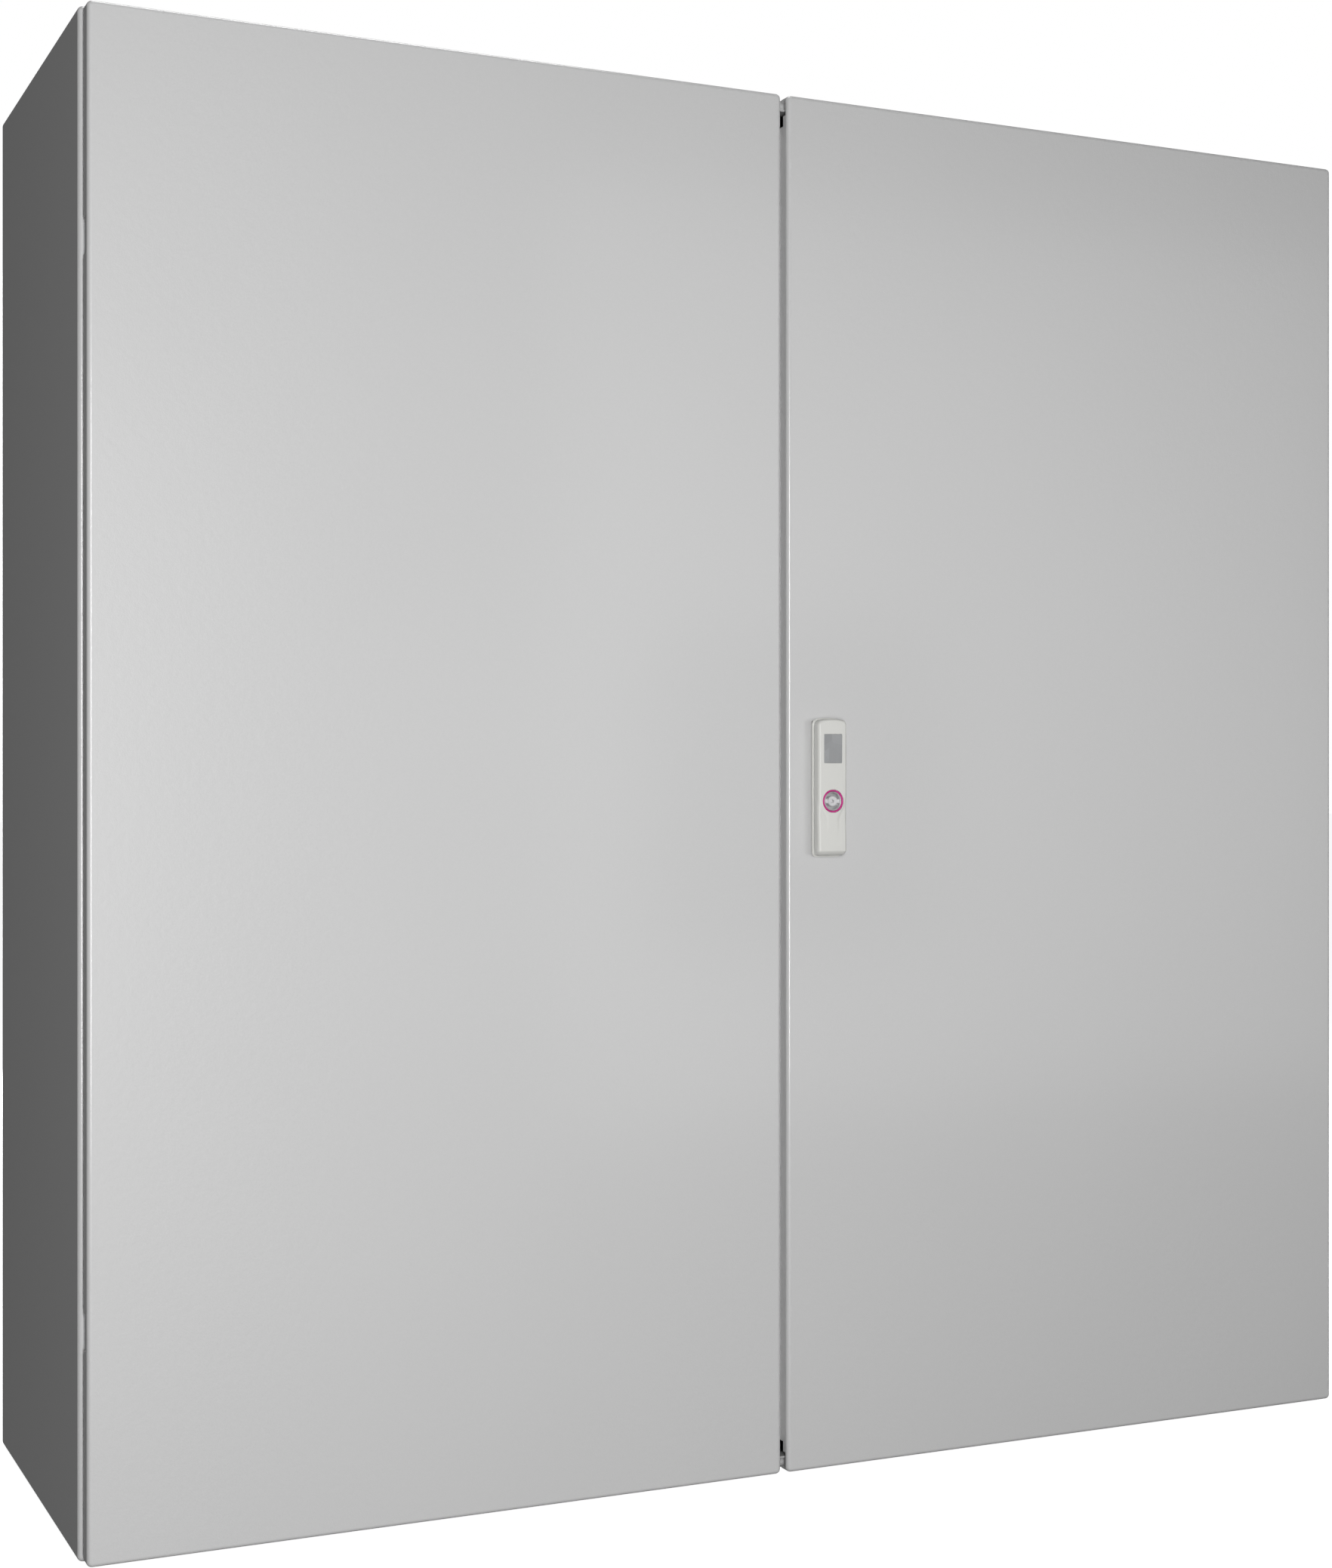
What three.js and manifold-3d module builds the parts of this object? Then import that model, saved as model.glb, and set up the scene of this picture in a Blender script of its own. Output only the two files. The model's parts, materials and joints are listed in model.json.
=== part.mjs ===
// Industrial switchboard cabinet: a wall-mounted sheet-steel box with two doors, a swing handle
// and a rod lock.
// Millimetres. X to the right, Y to the rear, Z up. The origin is the centre of the base.
import * as THREE from "three";
import { mergeVertices } from "three/addons/utils/BufferGeometryUtils.js";
import Module from "manifold-3d";

const wasm = await Module();
wasm.setup();

// ---------- Driving dimensions ----------
const WIDTH = 1000;
const HEIGHT = 1000;
const BODY_DEPTH = 300;
const DOOR_PROUD = 20; // door front in front of the body's front plane
const HANDLE_PROUD = 12; // handle front in front of the door front
const GAP = 0.3; // clearance between pieces that touch

const BODY_SHEET = 1.5;
const DOOR_SHEET = 2;
const BEND = 3; // outside bend radius of body and doors
const DOOR_INSET = 2; // door edge inside the body's outline
const DOOR_GAP = 5; // between the two doors
const DOOR_TO_BODY = 8; // door return's edge to the body's front plane

const FLANGE_SIDE = 20; // body front flange, at the hinge sides
const FLANGE_END = 10; // body front flange, at top and bottom
const RIM_HEIGHT = 10; // rain channel rim, forward of the body's front plane
const REAR_FLANGE = 20;

const REAR = (BODY_DEPTH + DOOR_PROUD + HANDLE_PROUD) / 2;
const BODY_FRONT = REAR - BODY_DEPTH;
const DOOR_FRONT = BODY_FRONT - DOOR_PROUD;
const DOOR_INNER = DOOR_FRONT + DOOR_SHEET;
const DOOR_BACK = BODY_FRONT - DOOR_TO_BODY;
const HALF = WIDTH / 2;
const DOOR_EDGE = HALF - DOOR_INSET;
const MID_Z = HEIGHT / 2;
const RIM_INNER = HALF - FLANGE_SIDE + BODY_SHEET;

// Hinges: the axis lies inside the corner of the door
const HINGE_X = DOOR_EDGE - 6;
const HINGE_Y = DOOR_FRONT + 7.5;
const HINGE_HEIGHTS = { upper: 850, lower: 150 };
const KNUCKLE_RADIUS = 3.2;
const PIN_RADIUS = 1.5;
const PIN_CLEARANCE = 0.1;
const BRACKET_HEIGHT = 20;
const LEAF_KNUCKLE = 10;
const NOTCH_HEIGHT = 24;
const NOTCH_DEPTH = 1.7; // in front of the hinge axis
// The returns beside the door gap have stepped ends
const RETURN_NOTCH = { end: 16, deepEnd: 23.3, deepFrom: 7 };
const THROUGH = 1; // cutting tools reach this far past what they cut

// Swing handle and rod lock
const HANDLE_X = 33.5;
const HANDLE_WIDTH = 24;
const HANDLE_LOW = 447;
const HANDLE_HIGH = 548;
const SPINDLE_Z = 527;
const LIFT_PIN_Z = 543.5;
const LOCK_Z = 487.5;
const HANDLE_FRONT = DOOR_FRONT - HANDLE_PROUD;
const GASKET_FRONT = DOOR_FRONT - GAP - 0.8;
const PLATE_FRONT = GASKET_FRONT - GAP - 3;
const LEVER_BACK = PLATE_FRONT - 0.4;
const LIFT_PIN_Y = (HANDLE_FRONT + LEVER_BACK) / 2;

const PINION_TEETH = 12;
const PITCH_RADIUS = 10;
const PRESSURE_ANGLE = THREE.MathUtils.degToRad(20);
const TOOTH_PITCH = (2 * Math.PI * PITCH_RADIUS) / PINION_TEETH;
const BACKLASH = 0.45;
const ROD_PLANE = [BODY_FRONT - 7, BODY_FRONT - 3];
const ROD_WIDTH = 7;
const ROD_TIP_GAP = 1; // rod and bolt tips to the body's rim
const TIP_REACH = MID_Z - FLANGE_END - BODY_SHEET - ROD_TIP_GAP; // rod and bolt tips from mid height
const SPINDLE_AXIS = [HANDLE_X, SPINDLE_Z];
const SPINDLE_HALF = 4;
const SPINDLE_HOLE = 8.5;
const LOCK_AXIS = [HANDLE_X, LOCK_Z];
const BARREL_BORE = 7.2;
const RING_SEAT = 8.5;
const LIFT_PIN_RADIUS = 1.2;
const LIFT_PIN_BORE = 1.3;

// ---------- Materials ----------
const material = (color, roughness, metalness) =>
  new THREE.MeshStandardMaterial({ color, roughness, metalness });
const PAINT = material(0xd0d0ce, 0.6, 0);
const ZINC = material(0xaeb2b5, 0.4, 0.9);
const SEAL = material(0x2a2a2c, 0.9, 0);
const HANDLE_PLASTIC = material(0xd8d8d4, 0.5, 0);
const RING_PLASTIC = material(0xd0187c, 0.4, 0);
const LOCK_METAL = material(0xc8c8ca, 0.35, 0.9);
const BLACK_PLASTIC = material(0x202022, 0.6, 0);

// ---------- Geometry helpers ----------
// Each plane's matrix takes an outline's own x, y and extrusion depth to X, Y and Z.
const basis = (x, y, depth) => new THREE.Matrix4().makeBasis(x, y, depth);
const AXIS = {
  X: new THREE.Vector3(1, 0, 0),
  Y: new THREE.Vector3(0, 1, 0),
  Z: new THREE.Vector3(0, 0, 1),
  TO_FRONT: new THREE.Vector3(0, -1, 0),
};
const PLANES = {
  XY: basis(AXIS.X, AXIS.Y, AXIS.Z),
  XZ: basis(AXIS.X, AXIS.Z, AXIS.TO_FRONT),
  YZ: basis(AXIS.Y, AXIS.Z, AXIS.X),
};

function toSolid(geometry) {
  geometry.deleteAttribute("normal");
  geometry.deleteAttribute("uv");
  const merged = mergeVertices(geometry, 1e-4);
  const vertProperties = merged.attributes.position.array;
  const triVerts = new Uint32Array(merged.index.array);
  return new wasm.Manifold(new wasm.Mesh({ numProp: 3, vertProperties, triVerts }));
}

function toMesh(name, solid, surface) {
  const { vertProperties, triVerts } = solid.getMesh();
  const geometry = new THREE.BufferGeometry();
  geometry.setAttribute("position", new THREE.BufferAttribute(vertProperties, 3));
  geometry.setIndex(new THREE.BufferAttribute(triVerts, 1));
  const mesh = new THREE.Mesh(geometry, surface);
  mesh.name = name;
  return mesh;
}

function block([x0, x1], [y0, y1], [z0, z1]) {
  const geometry = new THREE.BoxGeometry(x1 - x0, y1 - y0, z1 - z0);
  geometry.translate((x0 + x1) / 2, (y0 + y1) / 2, (z0 + z1) / 2);
  return toSolid(geometry);
}

// A shape extruded from one coordinate to the next: along Z for XY, Y for XZ and X for YZ.
function extruded(shape, plane, [from, to], segments = 4) {
  const geometry = new THREE.ExtrudeGeometry(shape, {
    depth: to - from,
    bevelEnabled: false,
    curveSegments: segments,
  });
  geometry.applyMatrix4(PLANES[plane]);
  const start = { XY: [0, 0, from], XZ: [0, to, 0], YZ: [from, 0, 0] }[plane];
  geometry.translate(...start);
  return toSolid(geometry);
}

function polygon(points) {
  return new THREE.Shape(points.map(([x, y]) => new THREE.Vector2(x, y)));
}

function roundedRectangle([x0, x1], [y0, y1], radius) {
  const shape = new THREE.Shape();
  shape.absarc(x1 - radius, y1 - radius, radius, 0, Math.PI / 2);
  shape.absarc(x0 + radius, y1 - radius, radius, Math.PI / 2, Math.PI);
  shape.absarc(x0 + radius, y0 + radius, radius, Math.PI, 1.5 * Math.PI);
  shape.absarc(x1 - radius, y0 + radius, radius, 1.5 * Math.PI, 2 * Math.PI);
  return shape;
}

// An XZ outline from y0 to y1 whose front and rear edges are rounded by radius.
function softened(shape, [y0, y1], radius, segments = 3) {
  const geometry = new THREE.ExtrudeGeometry(shape, {
    depth: y1 - y0 - 2 * radius,
    bevelThickness: radius,
    bevelSize: radius,
    bevelOffset: -radius,
    bevelSegments: segments,
    curveSegments: 2,
  });
  geometry.applyMatrix4(PLANES.XZ);
  geometry.translate(0, y1 - radius, 0);
  return toSolid(geometry);
}

function roundedBox(xRange, yRange, zRange, radius) {
  return softened(roundedRectangle(xRange, zRange, radius + 0.6), yRange, radius);
}

function cylinder(axis, [a, b], radius, [from, to], sides = 16) {
  const geometry = new THREE.CylinderGeometry(radius, radius, to - from, sides);
  const middle = (from + to) / 2;
  if (axis === "X") {
    geometry.rotateZ(-Math.PI / 2).translate(middle, a, b);
  } else if (axis === "Y") {
    geometry.translate(a, middle, b);
  } else {
    geometry.rotateX(Math.PI / 2).translate(a, b, middle);
  }
  return toSolid(geometry);
}

const inset = ([low, high], by) => [low + by, high - by];
const mirrored = ([low, high], side) => (side > 0 ? [low, high] : [-high, -low]);
const about = (middle, size) => [middle - size / 2, middle + size / 2];

// A height range from mid height: end is 1 for upwards and -1 for downwards.
function upOrDown([near, far], end) {
  return end > 0 ? [MID_Z + near, MID_Z + far] : [MID_Z - far, MID_Z - near];
}

// ---------- Cabinet body ----------
const PLATE_SIZE = { width: 939, height: 955, thickness: 3 };
const PLATE_REAR = REAR - 26;
const STUD_X = PLATE_SIZE.width / 2 - 20;
const STUD_Z = PLATE_SIZE.height / 2 - 20;
const STUDS = {
  upper_left: { x: -STUD_X, z: MID_Z + STUD_Z },
  upper_right: { x: STUD_X, z: MID_Z + STUD_Z },
  lower_left: { x: -STUD_X, z: MID_Z - STUD_Z },
  lower_right: { x: STUD_X, z: MID_Z - STUD_Z },
};
const STUD_RADIUS = 4;
const GLAND = { x: 235, cut: [370, 120], plate: [400, 150] };
const WALL_HOLE = { x: 400, z: [75, 925], radius: 4.5 };
const PANEL_FRONT = REAR - 2 * BODY_SHEET - GAP;
const PANEL_MARGIN = 2.8;
const EARTH_STUD = { y: 95, top: 26, radius: 4, collar: 8, collarTop: 4 };

function cabinetShell() {
  const outside = roundedBox([-HALF, HALF], [BODY_FRONT, REAR], [0, HEIGHT], BEND);
  const hollow = roundedBox(
    inset([-HALF, HALF], BODY_SHEET),
    inset([BODY_FRONT, REAR], BODY_SHEET),
    inset([0, HEIGHT], BODY_SHEET),
    BEND - BODY_SHEET,
  );
  const rim = block(
    inset([-HALF, HALF], FLANGE_SIDE),
    [BODY_FRONT - RIM_HEIGHT, BODY_FRONT + BODY_SHEET],
    inset([0, HEIGHT], FLANGE_END),
  );
  const doorway = block(
    [-RIM_INNER, RIM_INNER],
    [BODY_FRONT - RIM_HEIGHT - THROUGH, BODY_FRONT + BODY_SHEET + THROUGH],
    inset([0, HEIGHT], FLANGE_END + BODY_SHEET),
  );
  const rearOpening = block(
    inset([-HALF, HALF], REAR_FLANGE),
    [REAR - BODY_SHEET - THROUGH, REAR + THROUGH],
    inset([0, HEIGHT], REAR_FLANGE),
  );
  let shell = outside.subtract(hollow).add(rim).subtract(doorway).subtract(rearOpening);
  for (const side of [-1, 1]) {
    const x = about(side * GLAND.x, GLAND.cut[0]);
    shell = shell.subtract(block(x, about(0, GLAND.cut[1]), [-THROUGH, BODY_SHEET + THROUGH]));
  }
  return shell;
}

function rearPanel() {
  const yRange = [PANEL_FRONT, PANEL_FRONT + BODY_SHEET];
  let panel = block(inset([-HALF, HALF], PANEL_MARGIN), yRange, inset([0, HEIGHT], PANEL_MARGIN));
  for (const x of [-WALL_HOLE.x, WALL_HOLE.x]) {
    for (const z of WALL_HOLE.z) {
      panel = panel.subtract(cylinder("Y", [x, z], WALL_HOLE.radius, inset(yRange, -THROUGH), 12));
    }
  }
  return panel;
}

function wallPlug(x, z) {
  const head = cylinder("Y", [x, z], 8, [PANEL_FRONT - GAP - 2, PANEL_FRONT - GAP], 12);
  const stemRange = [PANEL_FRONT - THROUGH, PANEL_FRONT + 1.2];
  return head.add(cylinder("Y", [x, z], WALL_HOLE.radius - GAP, stemRange, 12));
}

function mountingPlate() {
  const { width, height, thickness } = PLATE_SIZE;
  const yRange = [PLATE_REAR - thickness, PLATE_REAR];
  let plate = block(about(0, width), yRange, about(MID_Z, height));
  for (const { x, z } of Object.values(STUDS)) {
    plate = plate.subtract(cylinder("Y", [x, z], STUD_RADIUS + 0.5, inset(yRange, -THROUGH)));
  }
  return plate;
}

function plateStud({ x, z }) {
  const shaft = cylinder("Y", [x, z], STUD_RADIUS, [PLATE_REAR - 14, PLATE_REAR + 1], 12);
  const shoulder = cylinder("Y", [x, z], 7, [PLATE_REAR + GAP, PANEL_FRONT - GAP], 12);
  return shaft.add(shoulder);
}

function hexNut(axisPoint, holeRadius, acrossFlats, yRange) {
  const corner = acrossFlats / Math.sqrt(3);
  const hole = cylinder("Y", axisPoint, holeRadius, inset(yRange, -THROUGH), 12);
  return cylinder("Y", axisPoint, corner, yRange, 6).subtract(hole);
}

function plateNut({ x, z }) {
  const back = PLATE_REAR - PLATE_SIZE.thickness - GAP;
  return hexNut([x, z], STUD_RADIUS + GAP, 13, [back - 6.5, back]);
}

function glandFrame(side, size, cut, zRange) {
  const x = side * GLAND.x;
  const plate = block(about(x, size[0]), about(0, size[1]), zRange);
  if (!cut) return plate;
  return plate.subtract(block(about(x, cut[0]), about(0, cut[1]), inset(zRange, -THROUGH)));
}

function cabinetEarthStud() {
  const { y, top, radius, collar, collarTop } = EARTH_STUD;
  const foot = BODY_SHEET + GAP;
  const shaft = cylinder("Z", [0, y], radius, [foot, top], 12);
  return shaft.add(cylinder("Z", [0, y], collar, [foot, collarTop], 12));
}

// ---------- Hinges: side is -1 for the left door and 1 for the right door ----------
// Outlines are drawn for the right door, from the hinge axis, and turned over for the left one.
function hingeOutline(side, points) {
  const placed = points.map(([x, y]) => [side * (HINGE_X + x), HINGE_Y + y]);
  return polygon(placed);
}

function knuckle(side, zRange) {
  return cylinder("Z", [side * HINGE_X, HINGE_Y], KNUCKLE_RADIUS, zRange);
}

function pinHole(side, z) {
  const height = BRACKET_HEIGHT + 2 * LEAF_KNUCKLE + 10;
  const hole = PIN_RADIUS + PIN_CLEARANCE;
  return cylinder("Z", [side * HINGE_X, HINGE_Y], hole, about(z, height));
}

// A foot on the body's flange with a diagonal arm to the knuckle.
function hingeBracket(side, z) {
  const floor = BODY_FRONT - GAP - HINGE_Y;
  const foot = floor - 2;
  const armHalf = 1.1;
  const heel = floor - 3;
  const outline = hingeOutline(side, [
    [armHalf, armHalf],
    [-armHalf, -armHalf],
    [-heel - 2 * armHalf, heel],
    [-heel - 2 * armHalf, floor],
    [4, floor],
    [4, foot],
    [2 * armHalf - foot, foot],
  ]);
  const body = extruded(outline, "XY", about(z, BRACKET_HEIGHT));
  return body.add(knuckle(side, about(z, BRACKET_HEIGHT))).subtract(pinHole(side, z));
}

function hingeLeaf(side, z) {
  const face = DOOR_INNER + GAP;
  const height = BRACKET_HEIGHT + 2 * LEAF_KNUCKLE + 2 * GAP;
  const xRange = mirrored([HINGE_X - 5.2, HINGE_X + 3.6], side);
  let leaf = block(xRange, [face, face + 1.6], about(z, height));
  for (const end of [-1, 1]) {
    const middle = z + (end * (height - LEAF_KNUCKLE)) / 2;
    const neck = mirrored([HINGE_X - 2.5, HINGE_X + 2.5], side);
    leaf = leaf.add(knuckle(side, about(middle, LEAF_KNUCKLE)));
    leaf = leaf.add(block(neck, [face, HINGE_Y - 1], about(middle, LEAF_KNUCKLE)));
  }
  return leaf.subtract(pinHole(side, z));
}

function hingePin(side, z) {
  const height = BRACKET_HEIGHT + 2 * LEAF_KNUCKLE + 2 * GAP;
  const axis = [side * HINGE_X, HINGE_Y];
  const shaft = cylinder("Z", axis, PIN_RADIUS, about(z, height + 2));
  const top = z + height / 2 + GAP;
  return shaft.add(cylinder("Z", axis, 2.4, [top, top + 1.5]));
}

// ---------- Doors ----------
// The returns have notches: at the hinge brackets, and at both ends beside the door gap.
function doorPan(side) {
  const xRange = mirrored([DOOR_GAP / 2, DOOR_EDGE], side);
  const zRange = inset([0, HEIGHT], DOOR_INSET);
  const outside = roundedBox(xRange, [DOOR_FRONT, DOOR_BACK + 2 * BEND], zRange, BEND);
  const hollow = roundedBox(
    inset(xRange, DOOR_SHEET),
    [DOOR_INNER, DOOR_BACK + 4 * BEND],
    inset(zRange, DOOR_SHEET),
    BEND - DOOR_SHEET,
  );
  const behind = block(xRange, [DOOR_BACK, DOOR_BACK + 5 * BEND], zRange);
  let pan = outside.subtract(hollow).subtract(behind);
  for (const z of Object.values(HINGE_HEIGHTS)) {
    const notch = mirrored([DOOR_EDGE - DOOR_SHEET - 0.5, DOOR_EDGE + THROUGH], side);
    const yRange = [HINGE_Y - NOTCH_DEPTH, DOOR_BACK + THROUGH];
    pan = pan.subtract(block(notch, yRange, about(z, NOTCH_HEIGHT)));
  }
  if (side > 0) {
    const through = inset([DOOR_FRONT, DOOR_INNER], -THROUGH);
    pan = pan.subtract(cylinder("Y", SPINDLE_AXIS, SPINDLE_HOLE, through));
  }
  const gapNotch = mirrored([0, DOOR_GAP / 2 + DOOR_SHEET + 0.5], side);
  for (const end of [-1, 1]) {
    const top = MID_Z - DOOR_INSET - DOOR_SHEET - 0.5;
    const behind = DOOR_BACK + THROUGH;
    const notch = upOrDown([MID_Z - RETURN_NOTCH.end, top], end);
    const deepNotch = upOrDown([MID_Z - RETURN_NOTCH.deepEnd, top], end);
    pan = pan.subtract(block(gapNotch, [DOOR_INNER + 1.5, behind], notch));
    pan = pan.subtract(block(gapNotch, [DOOR_FRONT + RETURN_NOTCH.deepFrom, behind], deepNotch));
  }
  return pan;
}

const DOOR_SEAL = {
  y: [DOOR_INNER + GAP, BODY_FRONT - RIM_HEIGHT - GAP],
  x: HALF - 14,
  z: [5, HEIGHT - 5],
  width: 12.5,
  gapSideWidth: 7.2,
  openEnd: 9, // the left door's runs end this far from the middle
};

// The right door has a closed ring; the left door has runs along the top, the hinge side and the bottom.
function doorSeal(side, closed) {
  const { y, x, z, width, gapSideWidth, openEnd } = DOOR_SEAL;
  const near = closed ? DOOR_GAP / 2 + DOOR_SHEET + 0.5 : openEnd;
  const holeNear = closed ? near + gapSideWidth : near - THROUGH;
  const outside = block(mirrored([near, x], side), y, z);
  const hole = block(mirrored([holeNear, x - width], side), inset(y, -THROUGH), inset(z, width));
  return outside.subtract(hole);
}

const STIFFENER = { width: 18, depth: 17, length: 900, sheet: 1.5, holePitch: 50, hole: [8, 12] };
const STIFFENER_X = { outer: 455, innerRight: 80, innerLeft: 45 };

function doorStiffener(x) {
  const { width, depth, length, sheet, holePitch, hole } = STIFFENER;
  const face = DOOR_INNER + GAP;
  const web = [face + depth - sheet, face + depth];
  const zRange = about(MID_Z, length);
  const outside = block(about(x, width), [face, web[1]], zRange);
  const hollow = block(about(x, width - 2 * sheet), [face - THROUGH, web[0]], inset(zRange, -THROUGH));
  let strip = outside.subtract(hollow);
  const count = Math.floor(length / holePitch);
  for (let i = 0; i < count; i += 1) {
    const z = MID_Z + (i - (count - 1) / 2) * holePitch;
    strip = strip.subtract(block(about(x, hole[0]), inset(web, -THROUGH), about(z, hole[1])));
  }
  return strip;
}

const STRIP = { sheet: 1.5, endGap: 23.3, overlap: 2.2 };

// A folded strip on the left door: a leg inside its return, and a flat that passes behind the door gap.
function centreStrip() {
  const legOuter = -(DOOR_GAP / 2 + DOOR_SHEET + GAP);
  const legInner = legOuter - STRIP.sheet;
  const tip = DOOR_GAP / 2 + STRIP.overlap;
  const front = DOOR_BACK + GAP;
  const outline = polygon([
    [legInner, DOOR_INNER + 2],
    [legOuter, DOOR_INNER + 2],
    [legOuter, front],
    [tip, front],
    [tip, front + STRIP.sheet],
    [legInner, front + STRIP.sheet],
  ]);
  return extruded(outline, "XY", inset([0, HEIGHT], STRIP.endGap));
}

function doorEarthStud(x) {
  const { radius, collar } = EARTH_STUD;
  const face = DOOR_INNER + GAP;
  const shaft = cylinder("Y", [x, 60], radius, [face, face + 16], 12);
  return shaft.add(cylinder("Y", [x, 60], collar, [face, face + 2], 12));
}

// ---------- Slide bolts of the left door: end is 1 for the upper and -1 for the lower ----------
const BOLT = { x: -18, width: 8, length: 110, knob: 6, knobHeight: 9 };

function slideBolt(end) {
  const across = about(BOLT.x, BOLT.width);
  const tail = TIP_REACH - BOLT.length;
  const bar = block(across, ROD_PLANE, upOrDown([tail, TIP_REACH], end));
  const knobRange = [ROD_PLANE[0], ROD_PLANE[1] + BOLT.knobHeight];
  return bar.add(block(across, knobRange, upOrDown([tail, tail + BOLT.knob], end)));
}

// A block on the door's inner face with a slot for a rod; near and far are heights from mid height.
function rodGuide(x, rodWidth, end, [near, far]) {
  const slack = 0.35;
  const wall = 2.5;
  const zRange = upOrDown([near, far], end);
  const outside = block(about(x, rodWidth + 2 * wall), [DOOR_INNER + GAP, ROD_PLANE[1] + 3], zRange);
  const slot = block(about(x, rodWidth + 2 * slack), inset(ROD_PLANE, -slack), inset(zRange, -THROUGH));
  return outside.subtract(slot);
}

// ---------- Rod lock of the right door ----------
function rackTooth(pitchLineX, direction, z) {
  const halfPitch = (TOOTH_PITCH / 2 - BACKLASH) / 2;
  const addendum = 1.1;
  const dedendum = 1.9;
  const slope = Math.tan(PRESSURE_ANGLE);
  const root = pitchLineX - direction * dedendum;
  const tip = pitchLineX + direction * addendum;
  const points = [
    [root, z - halfPitch - dedendum * slope],
    [tip, z - halfPitch + addendum * slope],
    [tip, z + halfPitch - addendum * slope],
    [root, z + halfPitch + dedendum * slope],
  ];
  return extruded(polygon(points), "XZ", ROD_PLANE);
}

const RACK_TO_BAR = 1.8;

// The bar carries a rack on the side that faces the pinion; the upper rod is on the pinion's left.
function lockRod(end) {
  const direction = end;
  const pitchLine = HANDLE_X - direction * PITCH_RADIUS;
  const near = pitchLine - direction * RACK_TO_BAR;
  const far = near - direction * ROD_WIDTH;
  const xRange = [Math.min(near, far), Math.max(near, far)];
  const tail = SPINDLE_Z - end * (TOOTH_PITCH * 2.5);
  const tip = MID_Z + end * TIP_REACH;
  let rod = block(xRange, ROD_PLANE, [Math.min(tail, tip), Math.max(tail, tip)]);
  for (let i = -2; i < 5; i += 1) {
    const z = SPINDLE_Z + end * (i + 0.5) * TOOTH_PITCH;
    rod = rod.add(rackTooth(pitchLine, direction, z));
  }
  return rod;
}

function pinionOutline() {
  const base = PITCH_RADIUS * Math.cos(PRESSURE_ANGLE);
  const root = PITCH_RADIUS - 1.9;
  const tip = PITCH_RADIUS + 1.4;
  const involute = (radius) => {
    const angle = Math.acos(Math.min(1, base / radius));
    return Math.tan(angle) - angle;
  };
  const atPitch = Math.PI / PINION_TEETH / 2 - BACKLASH / 2 / PITCH_RADIUS + involute(PITCH_RADIUS);
  const radii = [root, base, (base + tip) / 2, tip];
  const points = [];
  for (let tooth = 0; tooth < PINION_TEETH; tooth += 1) {
    const middle = (tooth * 2 * Math.PI) / PINION_TEETH;
    const flank = radii.map((radius) => [radius, atPitch - involute(radius)]);
    const rising = flank.map(([radius, half]) => [radius, middle - half]);
    const falling = flank.map(([radius, half]) => [radius, middle + half]).reverse();
    for (const [radius, angle] of [...rising, ...falling]) {
      points.push([HANDLE_X + radius * Math.cos(angle), SPINDLE_Z + radius * Math.sin(angle)]);
    }
  }
  return polygon(points);
}

function pinion() {
  const wheel = extruded(pinionOutline(), "XZ", inset(ROD_PLANE, 0.2));
  const across = 2 * SPINDLE_HALF + 0.5;
  const hole = block(about(HANDLE_X, across), inset(ROD_PLANE, -THROUGH), about(SPINDLE_Z, across));
  return wheel.subtract(hole);
}

const CASE_WALL = 1.2;
const CASE_X = [12.9, 54.1];

function lockCase() {
  const face = DOOR_INNER + GAP;
  const zRange = about(SPINDLE_Z, 60);
  const outside = block(CASE_X, [face, ROD_PLANE[1] + 2.5], zRange);
  const hollow = block(
    inset(CASE_X, CASE_WALL),
    [face + 1.5, ROD_PLANE[1] + 1.2],
    inset(zRange, -THROUGH),
  );
  return outside.subtract(hollow).subtract(cylinder("Y", SPINDLE_AXIS, 7, [face - THROUGH, face + 3]));
}

// ---------- Swing handle ----------
const HANDLE_CORNER = 3.4;
const HANDLE_CROWN = 1.5; // the arched top rises by this

function handleOutline(width, [low, high]) {
  const shape = new THREE.Shape();
  const left = HANDLE_X - width / 2;
  const right = HANDLE_X + width / 2;
  const shoulder = high - HANDLE_CROWN;
  const archFoot = high - HANDLE_CROWN * 0.7;
  const archPull = high + HANDLE_CROWN * 0.7;
  shape.moveTo(left + HANDLE_CORNER, low);
  shape.lineTo(right - HANDLE_CORNER, low);
  shape.quadraticCurveTo(right, low, right, low + HANDLE_CORNER);
  shape.lineTo(right, shoulder - HANDLE_CORNER / 2);
  shape.quadraticCurveTo(right, shoulder, right - HANDLE_CORNER, archFoot);
  shape.quadraticCurveTo(HANDLE_X, archPull, left + HANDLE_CORNER, archFoot);
  shape.quadraticCurveTo(left, shoulder, left, shoulder - HANDLE_CORNER / 2);
  shape.lineTo(left, low + HANDLE_CORNER);
  shape.quadraticCurveTo(left, low, left + HANDLE_CORNER, low);
  return shape;
}

function handleGasket() {
  const outline = handleOutline(HANDLE_WIDTH - 1, inset([HANDLE_LOW, HANDLE_HIGH], 0.5));
  const gasket = extruded(outline, "XZ", [GASKET_FRONT, DOOR_FRONT - GAP], 3);
  return gasket.subtract(cylinder("Y", SPINDLE_AXIS, SPINDLE_HOLE, [PLATE_FRONT, DOOR_INNER]));
}

function handlePlate() {
  const outline = handleOutline(HANDLE_WIDTH, [HANDLE_LOW, HANDLE_HIGH]);
  const plate = softened(outline, [PLATE_FRONT, GASKET_FRONT - GAP], 0.8, 2);
  return plate.subtract(cylinder("Y", SPINDLE_AXIS, SPINDLE_HOLE, [PLATE_FRONT - THROUGH, DOOR_FRONT]));
}

const CARRIER = { half: 5, depth: 4.2, eye: 2.2 };
const LIFT_AXIS = [LIFT_PIN_Y, LIFT_PIN_Z];

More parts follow.
